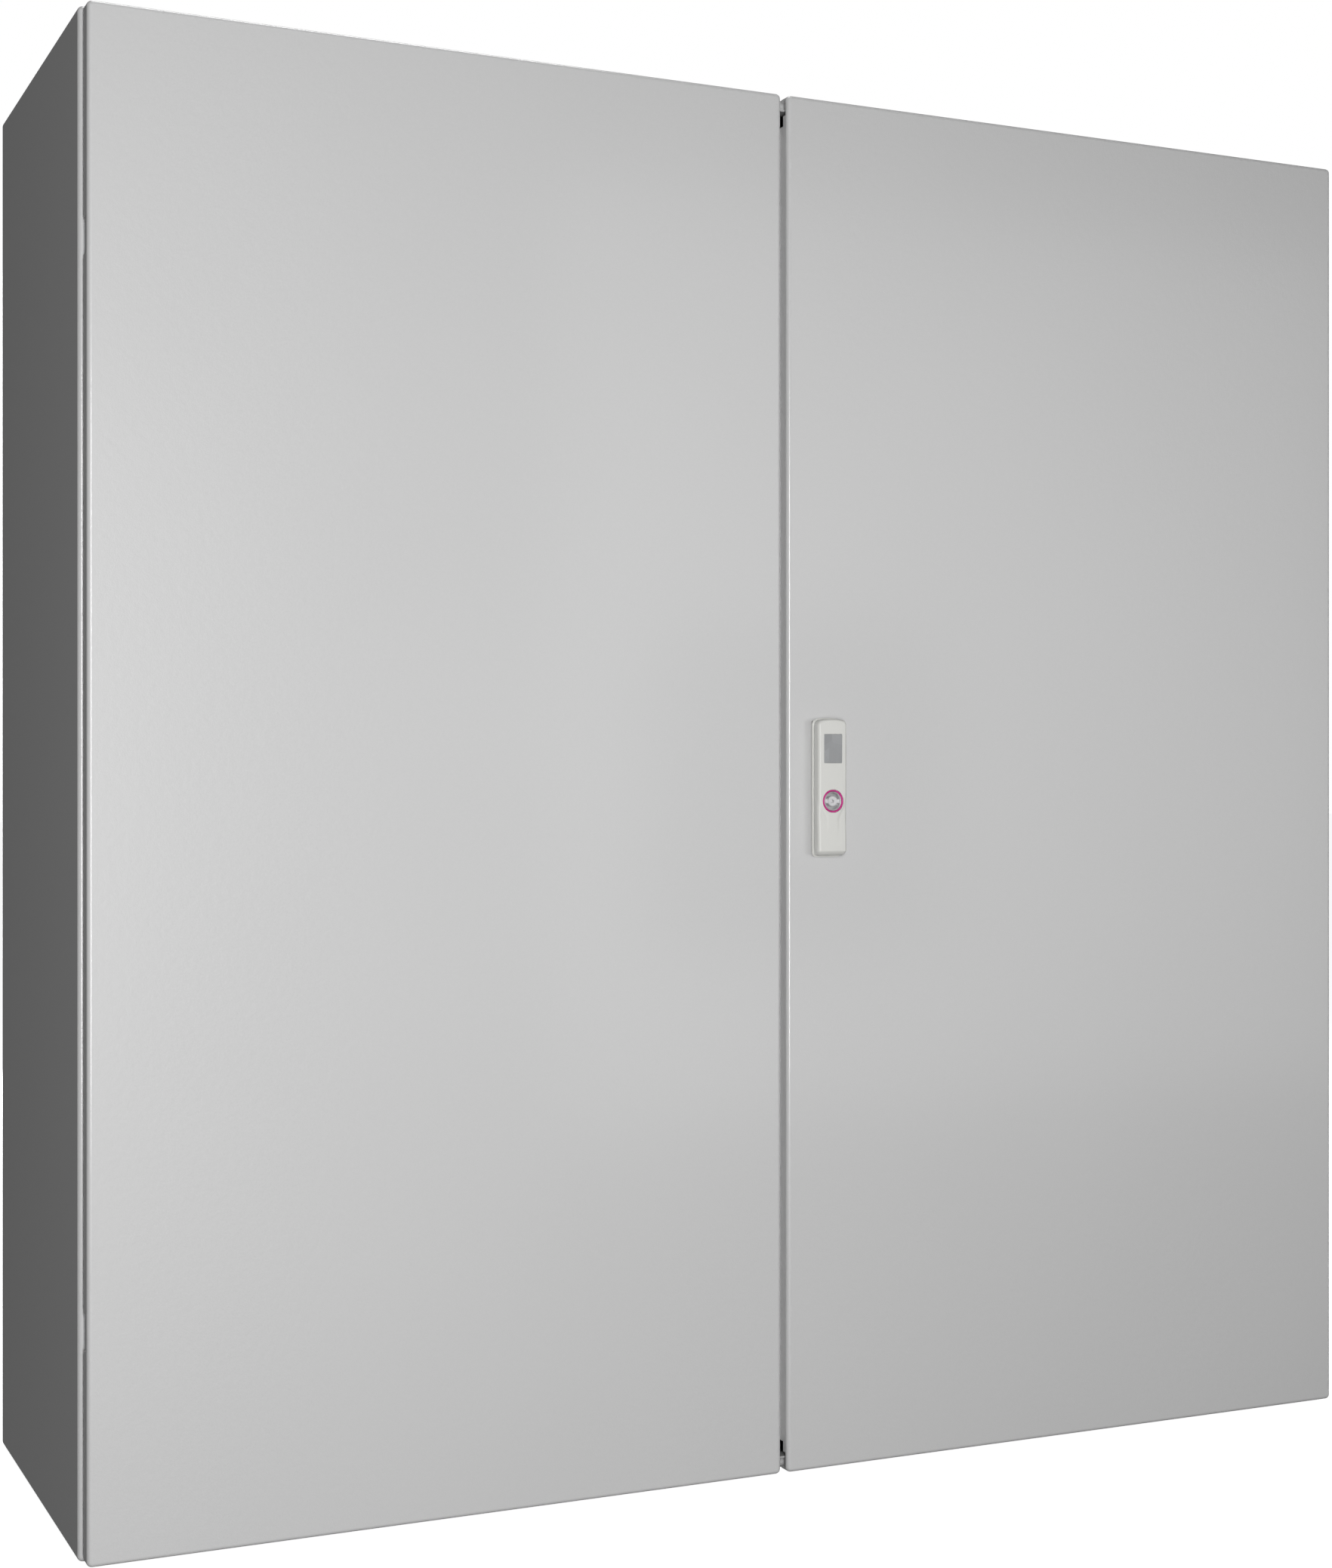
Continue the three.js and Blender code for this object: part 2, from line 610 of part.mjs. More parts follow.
// Round boss in the plate, square spindle through the door and an arm up to the lift pin.
function handleHub() {
  const overlap = LEVER_BACK + 0.2;
  const across = about(HANDLE_X, 2 * CARRIER.half);
  const boss = cylinder("Y", SPINDLE_AXIS, 7.8, [overlap, DOOR_FRONT]);
  const spindle = block(
    about(HANDLE_X, 2 * SPINDLE_HALF),
    [DOOR_FRONT - THROUGH, ROD_PLANE[1] + 0.6],
    about(SPINDLE_Z, 2 * SPINDLE_HALF),
  );
  const arm = block(across, [LEVER_BACK - CARRIER.depth, overlap], [SPINDLE_Z - 8, LIFT_PIN_Z]);
  const eye = cylinder("X", LIFT_AXIS, CARRIER.eye, across);
  const bore = cylinder("X", LIFT_AXIS, LIFT_PIN_BORE, inset(across, -THROUGH));
  return boss.add(spindle).add(arm).add(eye).subtract(bore);
}

const LIFT_PIN_LENGTH = 18;

function liftPin() {
  return cylinder("X", LIFT_AXIS, LIFT_PIN_RADIUS, about(HANDLE_X, LIFT_PIN_LENGTH));
}

// The heel behind the lift pin is cut back so that the lever can tip; a pocket takes the hub's arm.
function leverRelief() {
  const behind = LEVER_BACK + THROUGH;
  const above = LIFT_PIN_Z + 6;
  const outline = polygon([
    [behind, LIFT_PIN_Z - 0.5],
    [behind, above],
    [LIFT_PIN_Y - 0.4, above],
    [LIFT_PIN_Y - 0.4, LIFT_PIN_Z + 3.5],
    [LEVER_BACK - 0.2, LIFT_PIN_Z - 0.5],
  ]);
  const heel = extruded(outline, "YZ", inset(about(HANDLE_X, HANDLE_WIDTH), -THROUGH));
  const pocketX = about(HANDLE_X, 2 * CARRIER.half + 0.8);
  const pocket = block(pocketX, [LEVER_BACK - CARRIER.depth - 0.5, behind], [SPINDLE_Z - 9, above]);
  const eyeRoom = cylinder("X", LIFT_AXIS, CARRIER.eye + GAP, pocketX);
  return heel.add(pocket).add(eyeRoom);
}

function handleLever() {
  const outline = handleOutline(HANDLE_WIDTH - 0.4, [HANDLE_LOW + 1, LIFT_PIN_Z + 3.6]);
  const pinBore = cylinder("X", LIFT_AXIS, LIFT_PIN_BORE, about(HANDLE_X, LIFT_PIN_LENGTH + 2 * GAP));
  const barrelBore = cylinder("Y", LOCK_AXIS, BARREL_BORE, inset([HANDLE_FRONT, LEVER_BACK], -THROUGH));
  const ringSeat = cylinder("Y", LOCK_AXIS, RING_SEAT, [HANDLE_FRONT - THROUGH, HANDLE_FRONT + 1.3]);
  return softened(outline, [HANDLE_FRONT, LEVER_BACK], 1.4)
    .subtract(leverRelief())
    .subtract(pinBore)
    .subtract(barrelBore)
    .subtract(ringSeat);
}

function lockRing() {
  const yRange = [HANDLE_FRONT + 0.1, HANDLE_FRONT + 1];
  const bore = cylinder("Y", LOCK_AXIS, BARREL_BORE, inset(yRange, -THROUGH));
  return cylinder("Y", LOCK_AXIS, RING_SEAT - GAP, yRange).subtract(bore);
}

const INSERT = { barrel: 6.9, recess: 6.3, boss: 3.85, wings: [12, 3] };

// Double-bit insert: a boss with two wings stands in a round recess.
function lockInsert() {
  const floor = HANDLE_FRONT + 4;
  const barrel = cylinder("Y", LOCK_AXIS, INSERT.barrel, [HANDLE_FRONT + 0.5, LEVER_BACK - GAP]);
  const recess = cylinder("Y", LOCK_AXIS, INSERT.recess, [HANDLE_FRONT - THROUGH, floor]);
  const boss = cylinder("Y", LOCK_AXIS, INSERT.boss, [HANDLE_FRONT + 1, floor + 1]);
  const wings = block(
    about(HANDLE_X, INSERT.wings[0]),
    [HANDLE_FRONT + 1.2, floor + 1],
    about(LOCK_Z, INSERT.wings[1]),
  );
  return barrel.subtract(recess).add(boss).add(wings);
}

// ---------- Assembly ----------
const cabinet = new THREE.Group();
const add = (name, solid, surface) => cabinet.add(toMesh(name, solid, surface));

add("cabinet_shell", cabinetShell(), PAINT);
add("rear_panel", rearPanel(), PAINT);
add("mounting_plate", mountingPlate(), ZINC);
add("cabinet_earth_stud", cabinetEarthStud(), ZINC);
for (const [place, at] of Object.entries(STUDS)) {
  add(`plate_stud_${place}`, plateStud(at), ZINC);
  add(`plate_nut_${place}`, plateNut(at), ZINC);
}
for (const [across, x] of Object.entries({ left: -WALL_HOLE.x, right: WALL_HOLE.x })) {
  for (const [level, z] of Object.entries({ lower: WALL_HOLE.z[0], upper: WALL_HOLE.z[1] })) {
    add(`wall_plug_${level}_${across}`, wallPlug(x, z), BLACK_PLASTIC);
  }
}

const GLAND_SEAL_THICKNESS = 2.5;
for (const [across, side] of Object.entries({ left: -1, right: 1 })) {
  const sealLow = BODY_SHEET + GAP;
  const sealHigh = sealLow + GLAND_SEAL_THICKNESS;
  const plateLow = sealHigh + GAP;
  const seal = glandFrame(side, GLAND.plate, GLAND.cut, [sealLow, sealHigh]);
  const plate = glandFrame(side, GLAND.plate, null, [plateLow, plateLow + BODY_SHEET]);
  add(`gland_seal_${across}`, seal, SEAL);
  add(`gland_plate_${across}`, plate, PAINT);
  for (const [level, z] of Object.entries(HINGE_HEIGHTS)) {
    add(`hinge_bracket_${across}_${level}`, hingeBracket(side, z), ZINC);
    add(`hinge_leaf_${across}_${level}`, hingeLeaf(side, z), ZINC);
    add(`hinge_pin_${across}_${level}`, hingePin(side, z), ZINC);
  }
  add(`${across}_door_panel`, doorPan(side), PAINT);
  add(`${across}_door_seal`, doorSeal(side, side > 0), SEAL);
  const innerX = side > 0 ? STIFFENER_X.innerRight : -STIFFENER_X.innerLeft;
  add(`${across}_door_stiffener_outer`, doorStiffener(side * STIFFENER_X.outer), ZINC);
  add(`${across}_door_stiffener_inner`, doorStiffener(innerX), ZINC);
  add(`${across}_door_earth_stud`, doorEarthStud(side * 300), ZINC);
}

add("centre_strip", centreStrip(), PAINT);
for (const [level, end] of Object.entries({ upper: 1, lower: -1 })) {
  const rodX = HANDLE_X - end * (PITCH_RADIUS + RACK_TO_BAR + ROD_WIDTH / 2);
  const boltGuide = rodGuide(BOLT.x, BOLT.width, end, [TIP_REACH - 60, TIP_REACH - 40]);
  const guide = rodGuide(rodX, ROD_WIDTH, end, [TIP_REACH - 70, TIP_REACH - 50]);
  add(`left_bolt_${level}`, slideBolt(end), ZINC);
  add(`left_bolt_guide_${level}`, boltGuide, ZINC);
  add(`lock_rod_${level}`, lockRod(end), ZINC);
  add(`lock_rod_guide_${level}`, guide, BLACK_PLASTIC);
}

add("lock_case", lockCase(), BLACK_PLASTIC);
add("lock_pinion", pinion(), ZINC);
add("handle_gasket", handleGasket(), SEAL);
add("handle_plate", handlePlate(), HANDLE_PLASTIC);
add("handle_hub", handleHub(), ZINC);
add("handle_lift_pin", liftPin(), ZINC);
add("handle_lever", handleLever(), HANDLE_PLASTIC);
add("lock_ring", lockRing(), RING_PLASTIC);
add("lock_insert", lockInsert(), LOCK_METAL);

export default cabinet;
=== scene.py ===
import json
import math

import bmesh
import bpy
from mathutils import Matrix, Vector

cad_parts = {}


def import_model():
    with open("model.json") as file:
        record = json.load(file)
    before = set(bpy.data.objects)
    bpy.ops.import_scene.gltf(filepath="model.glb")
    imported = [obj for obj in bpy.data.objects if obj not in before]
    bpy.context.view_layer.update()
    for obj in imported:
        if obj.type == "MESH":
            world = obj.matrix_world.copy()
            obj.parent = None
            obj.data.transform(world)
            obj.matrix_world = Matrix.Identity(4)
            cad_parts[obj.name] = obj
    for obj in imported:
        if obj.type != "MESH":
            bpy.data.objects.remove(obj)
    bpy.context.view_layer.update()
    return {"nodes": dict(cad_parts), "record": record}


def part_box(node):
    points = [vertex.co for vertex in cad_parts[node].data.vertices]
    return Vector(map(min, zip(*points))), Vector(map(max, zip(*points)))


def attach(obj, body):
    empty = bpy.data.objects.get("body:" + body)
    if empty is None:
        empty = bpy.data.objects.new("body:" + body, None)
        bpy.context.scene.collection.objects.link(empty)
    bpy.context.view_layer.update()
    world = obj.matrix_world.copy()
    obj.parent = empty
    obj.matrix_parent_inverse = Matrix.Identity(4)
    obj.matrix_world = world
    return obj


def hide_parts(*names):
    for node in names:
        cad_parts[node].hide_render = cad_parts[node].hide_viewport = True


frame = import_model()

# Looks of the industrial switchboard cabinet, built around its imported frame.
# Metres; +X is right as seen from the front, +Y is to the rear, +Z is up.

MM = 0.001

# ---------- Measures, read from the frame ----------
SHELL_LOW, SHELL_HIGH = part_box("cabinet_shell")
HALF_WIDTH = SHELL_HIGH.x
HEIGHT = SHELL_HIGH.z
REAR = SHELL_HIGH.y
RIM_FRONT = SHELL_LOW.y
RIM_HEIGHT = 10 * MM
BODY_FRONT = RIM_FRONT + RIM_HEIGHT
BODY_SHEET = 1.5 * MM
FLANGE_SIDE = 20 * MM
FLANGE_END = 10 * MM
REAR_FLANGE = 20 * MM
BEND = 3 * MM
CORNER = 0.6 * MM + BEND  # outer corner of a folded pan, where its side walls meet
DOOR_SHEET = 2 * MM
DOOR_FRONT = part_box("left_door_panel")[0].y
DOOR_INNER = DOOR_FRONT + DOOR_SHEET
LEVER_LOW, LEVER_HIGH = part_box("handle_lever")
RING_LOW, RING_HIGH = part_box("lock_ring")
LOCK_X = (RING_LOW.x + RING_HIGH.x) / 2
LOCK_Z = (RING_LOW.z + RING_HIGH.z) / 2
INSERT_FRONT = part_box("lock_insert")[0].y
SPINDLE_Z = 527 * MM
SPINDLE_BORE = 8.5 * MM  # radius of the hole for the hub in the handle plate and the door
LOCK_BORE = 7.2 * MM  # inner radius of the ring round the lock
SIDES = {"left": -1, "right": 1}
LEFTWARD = (-1, 0, 0)
REARWARD = (0, 1, 0)
FORWARD = (0, -1, 0)
UPWARD = (0, 0, 1)
DOWNWARD = (0, 0, -1)
THROUGH = 10 * MM  # how far a cutter reaches past what it cuts


# ---------- Mesh helpers ----------
def link(mesh, name):
    piece = bpy.data.objects.new(name, mesh)
    bpy.context.scene.collection.objects.link(piece)
    return piece


def new_piece(name, points, faces):
    """A mesh object from points and faces, with its normals turned outwards."""
    mesh = bpy.data.meshes.new(name)
    mesh.from_pydata([tuple(p) for p in points], [], faces)
    work = bmesh.new()
    work.from_mesh(mesh)
    bmesh.ops.remove_doubles(work, verts=work.verts, dist=1e-7)
    bmesh.ops.recalc_face_normals(work, faces=work.faces)
    work.to_mesh(mesh)
    work.free()
    return link(mesh, name)


def bake_modifiers(piece):
    """Replaces the piece's mesh by what its modifiers make of it."""
    bpy.context.view_layer.update()
    graph = bpy.context.evaluated_depsgraph_get()
    final = bpy.data.meshes.new_from_object(piece.evaluated_get(graph))
    piece.modifiers.clear()
    piece.data = final
    return piece


def smooth(piece, angle=40):
    """Smooth shading, sharp at edges over angle degrees; large faces keep their own normals."""
    mesh = piece.data
    mesh.polygons.foreach_set("use_smooth", [True] * len(mesh.polygons))
    mesh.set_sharp_from_angle(angle=math.radians(angle))
    weighted = piece.modifiers.new("weighted", "WEIGHTED_NORMAL")
    weighted.keep_sharp = True
    return piece


def bevel(piece, width, segments=2, angle=40):
    modifier = piece.modifiers.new("bevel", "BEVEL")
    modifier.width = width
    modifier.segments = segments
    modifier.limit_method = "ANGLE"
    modifier.angle_limit = math.radians(angle)
    return bake_modifiers(piece)


def boolean(piece, others, operation):
    """Cuts others from the piece or joins them to it, and removes them."""
    for other in others:
        modifier = piece.modifiers.new("boolean", "BOOLEAN")
        modifier.operation = operation
        modifier.solver = "EXACT"
        modifier.object = other
        bake_modifiers(piece)
        bpy.data.objects.remove(other)
    return piece


def cut(piece, *cutters):
    return boolean(piece, cutters, "DIFFERENCE")


def join(name, parts):
    """One mesh object that holds the meshes of all the parts."""
    work = bmesh.new()
    for part in parts:
        mesh = part.data
        mesh.transform(part.matrix_world)
        work.from_mesh(mesh)
        bpy.data.objects.remove(part)
    mesh = bpy.data.meshes.new(name)
    work.to_mesh(mesh)
    work.free()
    return link(mesh, name)


def bridge(rings, closed=False, cap_ends=False):
    """Points and faces of a skin over equal rings of points."""
    count = len(rings[0])
    points = [p for ring in rings for p in ring]
    faces = []
    spans = len(rings) if closed else len(rings) - 1
    for i in range(spans):
        a = i * count
        b = ((i + 1) % len(rings)) * count
        for k in range(count):
            n = (k + 1) % count
            faces.append((a + k, a + n, b + n, b + k))
    if cap_ends:
        faces.append(tuple(range(count)))
        faces.append(tuple((len(rings) - 1) * count + k for k in range(count)))
    return points, faces


def arc(cx, cy, radius, start, end, steps):
    """Points of an arc in its own plane; the angles are in degrees."""
    angles = [math.radians(start + (end - start) * i / steps) for i in range(steps + 1)]
    return [(cx + radius * math.cos(a), cy + radius * math.sin(a)) for a in angles]


def rounded_outline(x0, x1, z0, z1, radius, steps=5):
    """A rounded rectangle, anticlockwise."""
    points = arc(x1 - radius, z1 - radius, radius, 0, 90, steps)
    points += arc(x0 + radius, z1 - radius, radius, 90, 180, steps)
    points += arc(x0 + radius, z0 + radius, radius, 180, 270, steps)
    points += arc(x1 - radius, z0 + radius, radius, 270, 360, steps)
    return points


def prism(name, outline, low, high, axis="Y"):
    """An outline extruded along an axis: X takes (y, z), Y takes (x, z) and Z takes (x, y)."""
    place = {
        "X": lambda a, b, t: (t, a, b),
        "Y": lambda a, b, t: (a, t, b),
        "Z": lambda a, b, t: (a, b, t),
    }[axis]
    rings = [[place(a, b, t) for a, b in outline] for t in (low, high)]
    return new_piece(name, *bridge(rings, cap_ends=True))


def box_piece(name, low, high, axis="Y"):
    """A box between two corners, for cutting or to be bevelled."""
    spans = dict(zip("XYZ", zip(low, high)))
    along = spans.pop(axis)
    (a0, a1), (b0, b1) = spans.values()
    outline = [(a0, b0), (a1, b0), (a1, b1), (a0, b1)]
    return prism(name, outline, *along, axis=axis)


def turned(name, profile, origin, direction, steps=32):
    """A solid of revolution: profile holds (radius, height) pairs along direction from origin."""
    frame_z = Vector(direction).normalized()
    turn = frame_z.to_track_quat("Z", "Y").to_matrix().to_4x4()
    place = Matrix.Translation(Vector(origin)) @ turn
    rings = []
    for radius, height in profile:
        ring = []
        for k in range(steps):
            angle = 2 * math.pi * k / steps
            x, y = radius * math.cos(angle), radius * math.sin(angle)
            ring.append(place @ Vector((x, y, height)))
        rings.append(ring)
    return new_piece(name, *bridge(rings, cap_ends=True))


def round_cutter(radius, origin, start, end, steps=32):
    """A cylinder along +Y, from start to end past the origin, for cutting."""
    return turned("cutter", [(radius, start), (radius, end)], origin, REARWARD, steps)


# ---------- Node helpers ----------
class Nodes:
    """Short names for building a material's node tree."""

    def __init__(self, name):
        self.material = bpy.data.materials.new(name)
        self.material.use_nodes = True
        self.tree = self.material.node_tree
        self.shader = self.tree.nodes["Principled BSDF"]
        self.coordinates = self.add("ShaderNodeTexCoord").outputs["Object"]

    def add(self, kind, inputs=None, **settings):
        node = self.tree.nodes.new(kind)
        for key, value in settings.items():
            setattr(node, key, value)
        for key, value in (inputs or {}).items():
            self.set(node.inputs[key], value)
        return node

    def set(self, socket, value):
        if isinstance(value, bpy.types.NodeSocket):
            self.tree.links.new(value, socket)
        else:
            socket.default_value = value

    def noise(self, scale, detail=2.0, roughness=0.5, vector=None):
        inputs = {"Vector": vector or self.coordinates, "Scale": scale}
        inputs |= {"Detail": detail, "Roughness": roughness}
        return self.add("ShaderNodeTexNoise", inputs).outputs["Fac"]

    def cells(self, scale, feature="F1", output="Distance", vector=None):
        inputs = {"Vector": vector or self.coordinates, "Scale": scale}
        return self.add("ShaderNodeTexVoronoi", inputs, feature=feature).outputs[output]

    def stretched(self, scale):
        inputs = {"Vector": self.coordinates, "Scale": scale}
        return self.add("ShaderNodeMapping", inputs).outputs["Vector"]

    def spread(self, value, low, high, from_low=0.0, from_high=1.0):
        inputs = {"Value": value, "From Min": from_low, "From Max": from_high}
        inputs |= {"To Min": low, "To Max": high}
        return self.add("ShaderNodeMapRange", inputs).outputs["Result"]

    def tint(self, fac, dark, light):
        node = self.add("ShaderNodeMix", {"Factor": fac}, data_type="RGBA")
        self.set(node.inputs[6], (*dark, 1.0))
        self.set(node.inputs[7], (*light, 1.0))
        return node.outputs[2]

    def combine(self, a, b, operation="ADD"):
        node = self.add("ShaderNodeMath", operation=operation)
        self.set(node.inputs[0], a)
        self.set(node.inputs[1], b)
        return node.outputs[0]

    def bump(self, height, distance, strength=1.0, normal=None):
        inputs = {"Height": height, "Distance": distance, "Strength": strength}
        if normal is not None:
            inputs["Normal"] = normal
        return self.add("ShaderNodeBump", inputs).outputs["Normal"]

    def finish(self, **sockets):
        for key, value in sockets.items():
            self.set(self.shader.inputs[key.replace("_", " ")], value)
        return self.material


def shade(color, factor):
    return tuple(min(1.0, c * factor) for c in color)


def powder_coat(name, color):
    """Light textured powder coat: a fine grain over a faint orange peel."""
    n = Nodes(name)
    grain = n.noise(950, detail=3, roughness=0.6)
    peel = n.noise(210, detail=1)
    broad = n.noise(3.5, detail=2)
    speck = n.combine(n.spread(grain, -0.5, 0.5), n.spread(broad, -0.35, 0.35))
    base = n.tint(n.spread(speck, 0.0, 1.0, -0.5, 0.5), shade(color, 0.972), shade(color, 1.028))
    normal = n.bump(peel, 0.00025, 0.5)
    normal = n.bump(grain, 0.00016, 0.55, normal)
    roughness = n.spread(grain, 0.34, 0.48, 0.3, 0.7)
    coat = {"Coat_Weight": 1.0, "Coat_Roughness": 0.16}
    return n.finish(Base_Color=base, Roughness=roughness, Normal=normal, **coat)


def zinc_sheet(name, color):
    """Galvanised sheet: overlapping spangle crystals with rolling marks."""
    n = Nodes(name)
    spangle = n.cells(120, output="Color")
    split = n.add("ShaderNodeSeparateColor", {"Color": spangle}).outputs[0]
    marks = n.noise(40, detail=5, roughness=0.7, vector=n.stretched((22, 22, 1)))
    value = n.combine(n.spread(split, 0, 0.6), n.spread(marks, 0, 0.4))
    base = n.tint(value, shade(color, 0.82), shade(color, 1.12))
    roughness = n.spread(value, 0.5, 0.68)
    normal = n.bump(marks, 0.00005, 0.4)
    return n.finish(Base_Color=base, Roughness=roughness, Normal=normal, Metallic=1.0)


def zinc_bright(name, color):
    """Bright zinc plating on small steel parts, with a cloudy passivation."""
    n = Nodes(name)
    cloud = n.noise(160, detail=4, roughness=0.65)
    fine = n.noise(2200, detail=2)
    base = n.tint(cloud, shade(color, 0.84), shade(color, 1.14))
    roughness = n.spread(cloud, 0.24, 0.42)
    normal = n.bump(fine, 0.00003, 0.4)
    return n.finish(Base_Color=base, Roughness=roughness, Normal=normal, Metallic=1.0)


def foam(name, color):
    """Foamed-in-place seal: a dull skin with tiny open pores."""
    n = Nodes(name)
    pores = n.cells(1500)
    waves = n.noise(120, detail=2)
    base = n.tint(n.spread(pores, 0, 1, 0.0, 0.6), shade(color, 0.6), shade(color, 1.5))
    normal = n.bump(waves, 0.0006, 0.5)
    normal = n.bump(pores, 0.00018, 0.6, normal)
    return n.finish(Base_Color=base, Roughness=n.spread(waves, 0.7, 0.92), Normal=normal)


def moulded(name, color, grain_size=1300, low=0.34, high=0.5):
    """Injection-moulded plastic with a fine spark-eroded grain."""
    n = Nodes(name)
    grain = n.noise(grain_size, detail=2, roughness=0.6)
    flow = n.noise(30, detail=2)
    blend = n.combine(n.spread(grain, 0, 0.5), n.spread(flow, 0, 0.5))
    base = n.tint(blend, shade(color, 0.96), shade(color, 1.03))
    normal = n.bump(grain, 0.00005, 0.35)
    return n.finish(Base_Color=base, Roughness=n.spread(grain, low, high, 0.3, 0.7), Normal=normal)


def nickel(name, color):
    """Nickel-plated die casting with faint tumbling marks; its colour darkens with depth into the
    recess as painted shade.
    """
    n = Nodes(name)
    marks = n.noise(700, detail=4, roughness=0.7)
    back = n.add("ShaderNodeSeparateXYZ", {"Vector": n.coordinates}).outputs["Y"]
    # Painted shade: a mask that grows with depth behind the insert's front, towards the recess
    # floor.
    painted_recess_shade = n.spread(back, 0.0, 1.0, INSERT_FRONT + 1.2 * MM, INSERT_FRONT + 2.8 * MM)
    bright = n.tint(marks, shade(color, 1.05), shade(color, 1.3))
    base = n.add("ShaderNodeMix", {"Factor": painted_recess_shade}, data_type="RGBA")
    n.set(base.inputs[6], bright)
    # Painted shade: a darker copy of the colour that fills the recess floor.
    n.set(base.inputs[7], (*shade(color, 0.7), 1.0))
    base = base.outputs[2]
    normal = n.bump(marks, 0.00004, 0.5)
    roughness = n.spread(marks, 0.25, 0.42)
    return n.finish(Base_Color=base, Roughness=roughness, Normal=normal, Metallic=0.6)


COLORS = {m["slot"]: tuple(m["base_color"][:3]) for m in frame["record"]["materials"]}
MATERIALS = {
    "enclosure_paint": powder_coat("enclosure_paint", COLORS["enclosure_paint"]),
    "zinc_steel": zinc_sheet("zinc_steel", COLORS["zinc_steel"]),
    "zinc_fasteners": zinc_bright("zinc_fasteners", COLORS["zinc_fasteners"]),
    "foam_seal": foam("foam_seal", COLORS["foam_seal"]),
    "handle_plastic": moulded("handle_plastic", shade(COLORS["handle_plastic"], 1.11)),
    "ring_plastic": moulded("ring_plastic", COLORS["ring_plastic"], 900, 0.22, 0.34),
    "lock_metal": nickel("lock_metal", COLORS["lock_metal"]),
    "black_plastic": moulded("black_plastic", COLORS["black_plastic"], 1100, 0.4, 0.58),
}


def paint(piece, slot):
    piece.data.materials.clear()
    piece.data.materials.append(MATERIALS[slot])


def finished(piece, body, slot, replaced=(), angle=40):
    """Shades and paints a piece, ties it to its body and hides the CAD nodes it replaces."""
    smooth(piece, angle)
    paint(piece, slot)
    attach(piece, body)
    if replaced:
        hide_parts(*replaced)
    return piece


# ---------- Cabinet body ----------
def ring_at(inset_x, inset_z, y, radius):
    outline = rounded_outline(
        -HALF_WIDTH + inset_x, HALF_WIDTH - inset_x, inset_z, HEIGHT - inset_z, radius
    )
    return [(x, y, z) for x, z in outline]


def cabinet_shell():
    """Folded strip with a front flange, a rain-channel rim and a rear flange, as one skin."""
    steps = 6
    inner_bend = BEND - BODY_SHEET
    flange_corner = 3 * MM
    rim_corner, rim_inner_corner = 2.4 * MM, 1.4 * MM
    profile = [(REAR_FLANGE, REAR_FLANGE, REAR, flange_corner)]
    for u, v in arc(BEND, REAR - BEND, BEND, 90, 180, steps):
        profile.append((u, u, v, CORNER - u))
    for u, v in arc(BEND, BODY_FRONT + BEND, BEND, 180, 270, steps):
        profile.append((u, u, v, CORNER - u))
    fold = 1.2 * MM
    for u, v in arc(-fold, BODY_FRONT - fold, fold, 90, 0, 3):
        profile.append((FLANGE_SIDE + u, FLANGE_END + u, v, rim_corner))
    lip = 0.5 * MM
    profile.append((FLANGE_SIDE, FLANGE_END, RIM_FRONT + lip, rim_corner))
    profile.append((FLANGE_SIDE + lip, FLANGE_END + lip, RIM_FRONT, 2 * MM))
    inner_x = FLANGE_SIDE + BODY_SHEET
    inner_z = FLANGE_END + BODY_SHEET
    profile.append((inner_x - lip, inner_z - lip, RIM_FRONT, 1.6 * MM))
    profile.append((inner_x, inner_z, RIM_FRONT + lip, rim_inner_corner))
    profile.append((inner_x, inner_z, BODY_FRONT + BODY_SHEET, rim_inner_corner))
    for u, v in arc(BEND, BODY_FRONT + BEND, inner_bend, 270, 180, 3):
        profile.append((u, u, v, CORNER - u))
    for u, v in arc(BEND, REAR - BEND, inner_bend, 180, 90, 3):
        profile.append((u, u, v, CORNER - u))
    profile.append((REAR_FLANGE, REAR_FLANGE, REAR - BODY_SHEET, flange_corner))
    rings = [ring_at(*entry) for entry in profile]
    shell = new_piece("shell_folded", *bridge(rings, closed=True))
    margin = 15 * MM
    for side in SIDES:
        low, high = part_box(f"gland_seal_{side}")
        corners = low.x + margin, high.x - margin, low.y + margin, high.y - margin
        outline = rounded_outline(*corners, 4 * MM)
        cut(shell, prism("cutter", outline, -THROUGH, 3 * BODY_SHEET, axis="Z"))
    return finished(shell, "cabinet", "enclosure_paint", ["cabinet_shell"])


def hex_head(name, origin, direction, across, height, washer=None):
    """A hexagon screw head or nut with a chamfered face, standing on an optional washer."""
    parts = []
    base = 0.0
    if washer:
        radius, thickness = washer
        edge = 0.15 * MM
        inner = radius - edge
        profile = [(inner, 0), (radius, edge), (radius, thickness - edge), (inner, thickness)]
        parts.append(turned("washer", profile, origin, direction))
        base = thickness
    corner = across / math.sqrt(3)
    side_share, top_share = 0.82, 0.9  # of the height and of the radius that the chamfer leaves
    profile = [(corner, base), (corner, base + height * side_share)]
    profile.append((corner * top_share, base + height))
    parts.append(turned("hexagon", profile, origin, direction, steps=6))
    return join(name, parts)


def threaded_rod(name, origin, direction, radius, length, pitch=1.25 * MM):
    """A rod with a rolled thread drawn as close grooves, and a chamfered end."""
    root = radius * 0.86
    tip, tip_length = radius * 0.8, 0.8 * MM
    flank_start, groove, flank_end = 0.25 * pitch, 0.6 * pitch, 0.95 * pitch
    profile = [(radius, 0)]
    turns = int(length / pitch)
    for i in range(turns):
        low = i * pitch
        profile.append((radius, low + flank_start))
        profile.append((root, low + groove))
        profile.append((radius, low + flank_end))
    profile.append((radius, length - tip_length))
    profile.append((tip, length))
    profile = sorted(set(profile), key=lambda entry: entry[1])
    return turned(name, profile, origin, direction, steps=24)


